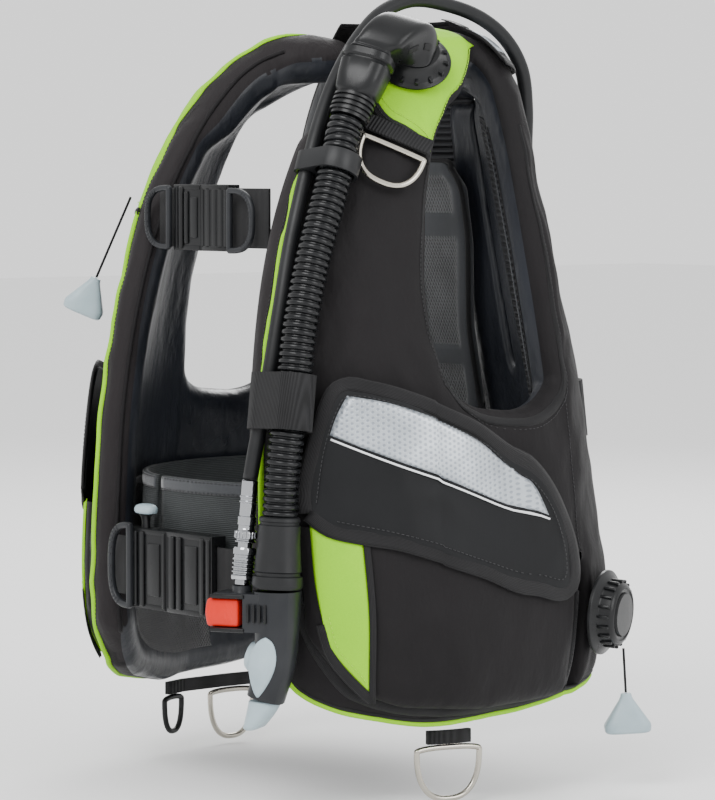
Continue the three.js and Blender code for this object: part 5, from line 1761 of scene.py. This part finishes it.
# Rings and tabs
def makeRing(name, node, seatAt, xAxis, zHint, half, drop, material, bow=3.0):
    m = seat(Vector(seatAt), xAxis=xAxis, zHint=zHint)
    axes = np.array(m.to_3x3()).T
    origin = np.array(seatAt) * 1000 + cradle
    points = []
    for k in range(64):
        phi = 2 * math.pi * k / 64
        c, s = math.cos(phi), math.sin(phi)
        x = half * math.copysign(abs(c)**0.8, c)
        points.append(origin + np.array([x, 0, bow * s if s >= 0 else -drop * abs(s)**0.8]) @ axes)
    bm = bmesh.new()
    drawTube(bm, points, 2.5, around=16, along=140, closed=True)
    asObject(bm, name, material, node, [node])


rings = {
    "hem_ring_left": {"node": "left_hem_ring", "seatAt": (0.18282, -0.20722, -0.34118),
                      "xAxis": (0.2507, 0.9681, 0),
                      "zHint": (0, 0, 1), "half": 29, "drop": 40, "material": steel},
    "hem_ring_right": {"node": "right_hem_ring", "seatAt": (-0.18772, -0.1442, -0.33915),
                       "xAxis": (0.0345, 0.9994, 0), "zHint": (0, 0, 1), "half": 24, "drop": 40,
                       "material": steel},
    "hem_ring_small": {"node": "right_small_ring", "seatAt": (-0.18267, -0.21517, -0.33915),
                       "xAxis": (-0.3421, 0.9397, 0), "zHint": (0, 0, 1), "half": 14, "drop": 28,
                       "material": blackPlastic},
    "chest_ring": {"node": "left_chest_ring", "seatAt": (0.14962, -0.23832, 0.15708),
                   "xAxis": (0.5489, 0.7366, -0.3951), "zHint": (-0.1069, 0.5306, 0.8408), "half": 27,
                   "drop": 33,
                   "material": steel, "bow": 0.6}}
for name, sizes in rings.items():
    makeRing(name, **sizes)
copied("hem_tab_left", "left_hem_tab", "vest", objectWebbing, 0.3, 1)
copied("hem_tab_right", "right_hem_tab", "vest", objectWebbing, 0.3, 1)
copied("ring_strip", "chest_ring_strip", "vest", objectWebbing, 0.8)


# Dump valves
def makeValve(name, node, at, lift, r, side):
    p, n = raised(*at, lift), outward(*at)
    if side == "right":
        p, n = p * [-1, 1, 1], n * [-1, 1, 1]
    m = framed(p, zAxis=n, xHint=(0, 0, 1))[0]
    bm = bmesh.new()
    drawTurned(bm, [(0, 0), (r - 0.6, 0), (r, 0.6), (r, 2.6), (r - 0.8, 3.4), (r - 3.6, 4.4),
                    (r - 5, 5.8), (r - 7, 6.6), (r - 8.2, 8), (r - 9, 15.6),
                    (r - 9.8, 17.4), (r - 12, 19.2), (r - 13.6, 19.6), (r - 14.6, 18.4), (r - 17, 18.2),
                    (r - 18, 20.6), (0, 21)], 64)
    ringOfBlocks(bm, 20, (r - 9.8, -1.4, 6.6), (r - 6.4, 1.4, 16.6), 0.9, 2)
    asObject(finished(bm, m), name, blackPlastic, "vest", [node], smooth="edges")


valves = {"left": {"at": (115, 92), "lift": 5.5, "r": 36}, "right": {"at": (132, 470), "lift": 4.5,
                                                                     "r": 28}}
for side, sizes in valves.items():
    makeValve(f"valve_{side}", f"{side}_dump_valve", side=side, **sizes)
print("rings and valves made")


# Cylinder plate and cam band
copied("cylinder_plate", "backplate", "vest", blackPlastic, 2.0, 3)
copied("cam_frame", "cam_buckle_frame", "vest", blackPlastic, 1.2)
copied("cam_arm", "cam_buckle_lever", "cam_lever", blackPlastic, 1.2)
copied("cylinder_band", "tank_band", "vest", objectWebbing, 0.6)
print("plate and band made")


# Floor and light
def makeFloor():
    m, nodes, links, shader = startMaterial("paleFloor", 0.8, base=(0.9, 0.9, 0.9))
    bm = bmesh.new()
    bmesh.ops.create_grid(bm, x_segments=1, y_segments=1, size=12)
    bmesh.ops.translate(bm, vec=(0, 0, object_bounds()[0].z - 0.002), verts=bm.verts)
    mesh = bpy.data.meshes.new("floor")
    bm.to_mesh(mesh)
    bm.free()
    mesh.materials.append(m)
    floor = bpy.data.objects.new("floor", mesh)
    scene.collection.objects.link(floor)


makeFloor()
sky = {"color": (1, 1, 1, 1), "strength": 1.35}
world = bpy.data.worlds.new("studio")
scene.world = world
world.use_nodes = True
world.node_tree.nodes["Background"].inputs["Color"].default_value = sky["color"]
world.node_tree.nodes["Background"].inputs["Strength"].default_value = sky["strength"]
lamps = {"keyLight": ((0.9, -2.2, 1.9), (0, -0.15, 0), (1.6, 1.6), 70),
         "sideLight": ((2.6, 0.2, 1.0), (0, -0.1, 0), (1.4, 1.8), 36),
         "rimLight": ((-1.6, 1.8, 1.7), (0, 0, 0.1), (1.4, 1.4), 40)}
for name, (at, target, wide, power) in lamps.items():
    areaLight(name, at, target, wide, power)
print("stage lit")
